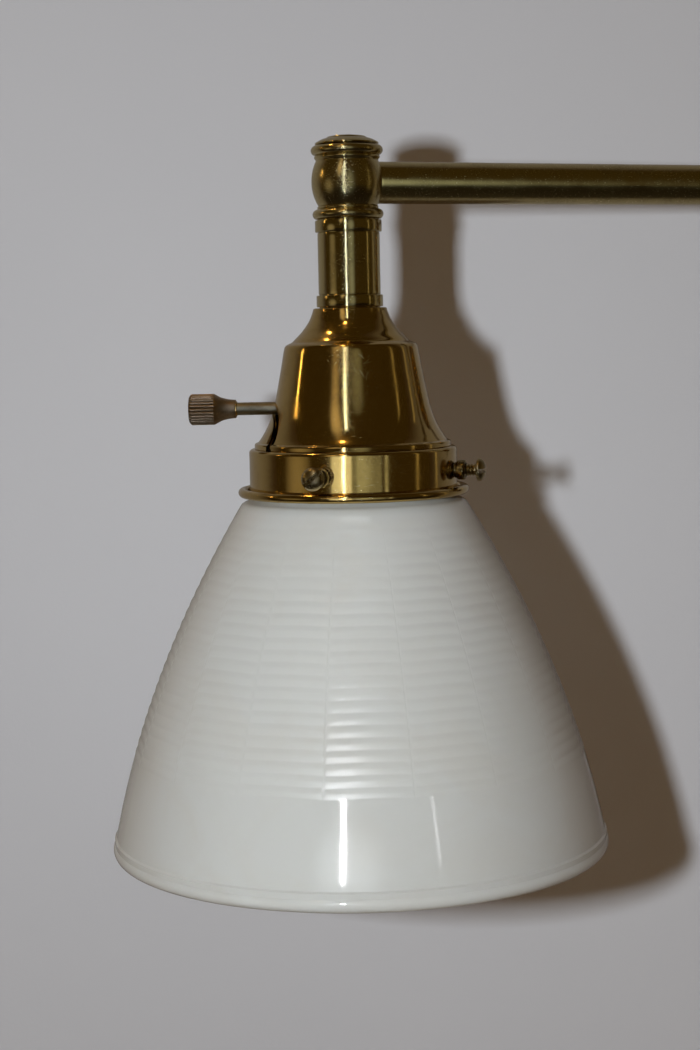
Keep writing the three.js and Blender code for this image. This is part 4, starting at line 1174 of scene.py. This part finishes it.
SOFT_EDGED = {
    "halo_on_glass", *RIB_LIGHTS, "warm_on_glass", "room_glow", "tube_glow", "door", "left_room",
    "right_room",
}
LIT = {"key", "left_fill", "right_fill", "rear_fill"}
GLOSSY_SLOTS = {"milk_glass", "frosted_glass", "porcelain", "phenolic"}


def receivers():
    """Sets of pieces that some reflections are kept to."""
    names = {"metal": [], "glass": [], "tube": ["arm_tube_form"], "band": ["shade_fitter_form"]}
    for obj in bpy.context.scene.objects:
        if obj.type == "MESH" and not obj.hide_render and not obj.get("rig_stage"):
            finish = obj.get("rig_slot") or SLOT_OF.get(obj.get("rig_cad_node"), "")
            if obj.name not in names["tube"]:
                names["glass" if finish in GLOSSY_SLOTS else "metal"].append(obj.name)
    sets = {}
    for key, members in names.items():
        sets[key] = bpy.data.collections.new(key)
        for name in members:
            sets[key].objects.link(bpy.data.objects[name])
    return sets


def soften(data):
    """Fade an area light from its middle to nothing at its edge."""
    data.use_nodes = True
    nodes, links = data.node_tree.nodes, data.node_tree.links
    place = nodes.new("ShaderNodeNewGeometry").outputs["Parametric"]
    centred, square = nodes.new("ShaderNodeVectorMath"), nodes.new("ShaderNodeVectorMath")
    centred.operation, square.operation = "MULTIPLY_ADD", "DOT_PRODUCT"
    links.new(place, centred.inputs[0])
    centred.inputs[1].default_value, centred.inputs[2].default_value = (2, 2, 0), (-1, -1, 0)
    links.new(centred.outputs[0], square.inputs[0])
    links.new(centred.outputs[0], square.inputs[1])
    fade = nodes.new("ShaderNodeMath")
    fade.operation, fade.use_clamp = "SUBTRACT", True
    fade.inputs[0].default_value = 1.0
    links.new(square.outputs["Value"], fade.inputs[1])
    links.new(fade.outputs[0], nodes["Emission"].inputs["Strength"])


def lights():
    centre = LAMP + Vector((0, 0, -0.09))
    kept_to = receivers()
    for name, (turn, rise, distance, size, power, tint, mirrored) in LIGHTS.items():
        data = bpy.data.lights.new(name, "AREA")
        data.shape = "RECTANGLE"
        data.size, data.size_y = size
        data.energy = power
        data.color = tint
        if name in SOFT_EDGED:
            soften(data)
        light = bpy.data.objects.new(name, data)
        bpy.context.scene.collection.objects.link(light)
        heading, up = facing(turn), math.radians(rise)
        level = math.cos(up)
        away = Vector((math.cos(heading) * level, math.sin(heading) * level, math.sin(up)))
        light.location = centre + away * distance
        light.rotation_euler = away.to_track_quat("Z", "Y").to_euler()
        light.visible_diffuse = name in LIT
        light.visible_glossy = mirrored is not None
        if mirrored in kept_to:
            light.light_linking.receiver_collection = kept_to[mirrored]


def room():
    """Warm dim surroundings, darker where they show in polished metal and pale behind the lamp."""
    world = bpy.data.worlds.new("room")
    world.use_nodes = True
    bpy.context.scene.world = world
    nodes, links = world.node_tree.nodes, world.node_tree.links
    result, path = nodes["Background"], nodes.new("ShaderNodeLightPath")
    result.inputs["Color"].default_value = (0.100, 0.060, 0.028, 1.0)
    for kind, tint in (("Glossy", (0.040, 0.026, 0.006, 1.0)), ("Camera", (0.40, 0.40, 0.41, 1.0))):
        shown, pick = nodes.new("ShaderNodeBackground"), nodes.new("ShaderNodeMixShader")
        shown.inputs["Color"].default_value = tint
        links.new(path.outputs[f"Is {kind} Ray"], pick.inputs[0])
        links.new(result.outputs[0], pick.inputs[1])
        links.new(shown.outputs[0], pick.inputs[2])
        result = pick
    links.new(result.outputs[0], nodes["World Output"].inputs["Surface"])


def camera():
    data = bpy.data.cameras.new("camera")
    data.lens, data.sensor_width = 68.23, 36
    data.clip_start = 0.02
    obj = bpy.data.objects.new("camera", data)
    bpy.context.scene.collection.objects.link(obj)
    obj.location = LAMP + Vector((-0.0013, -0.5754, -0.0436))
    tilt = Matrix.Rotation(math.radians(84.57), 4, "X") @ Matrix.Rotation(math.radians(-1.2), 4, "Z")
    obj.rotation_euler = tilt.to_euler()
    bpy.context.scene.camera = obj


stage()
lights()
room()
camera()
bpy.context.scene.view_settings.view_transform = "Standard"
bpy.context.view_layer.update()
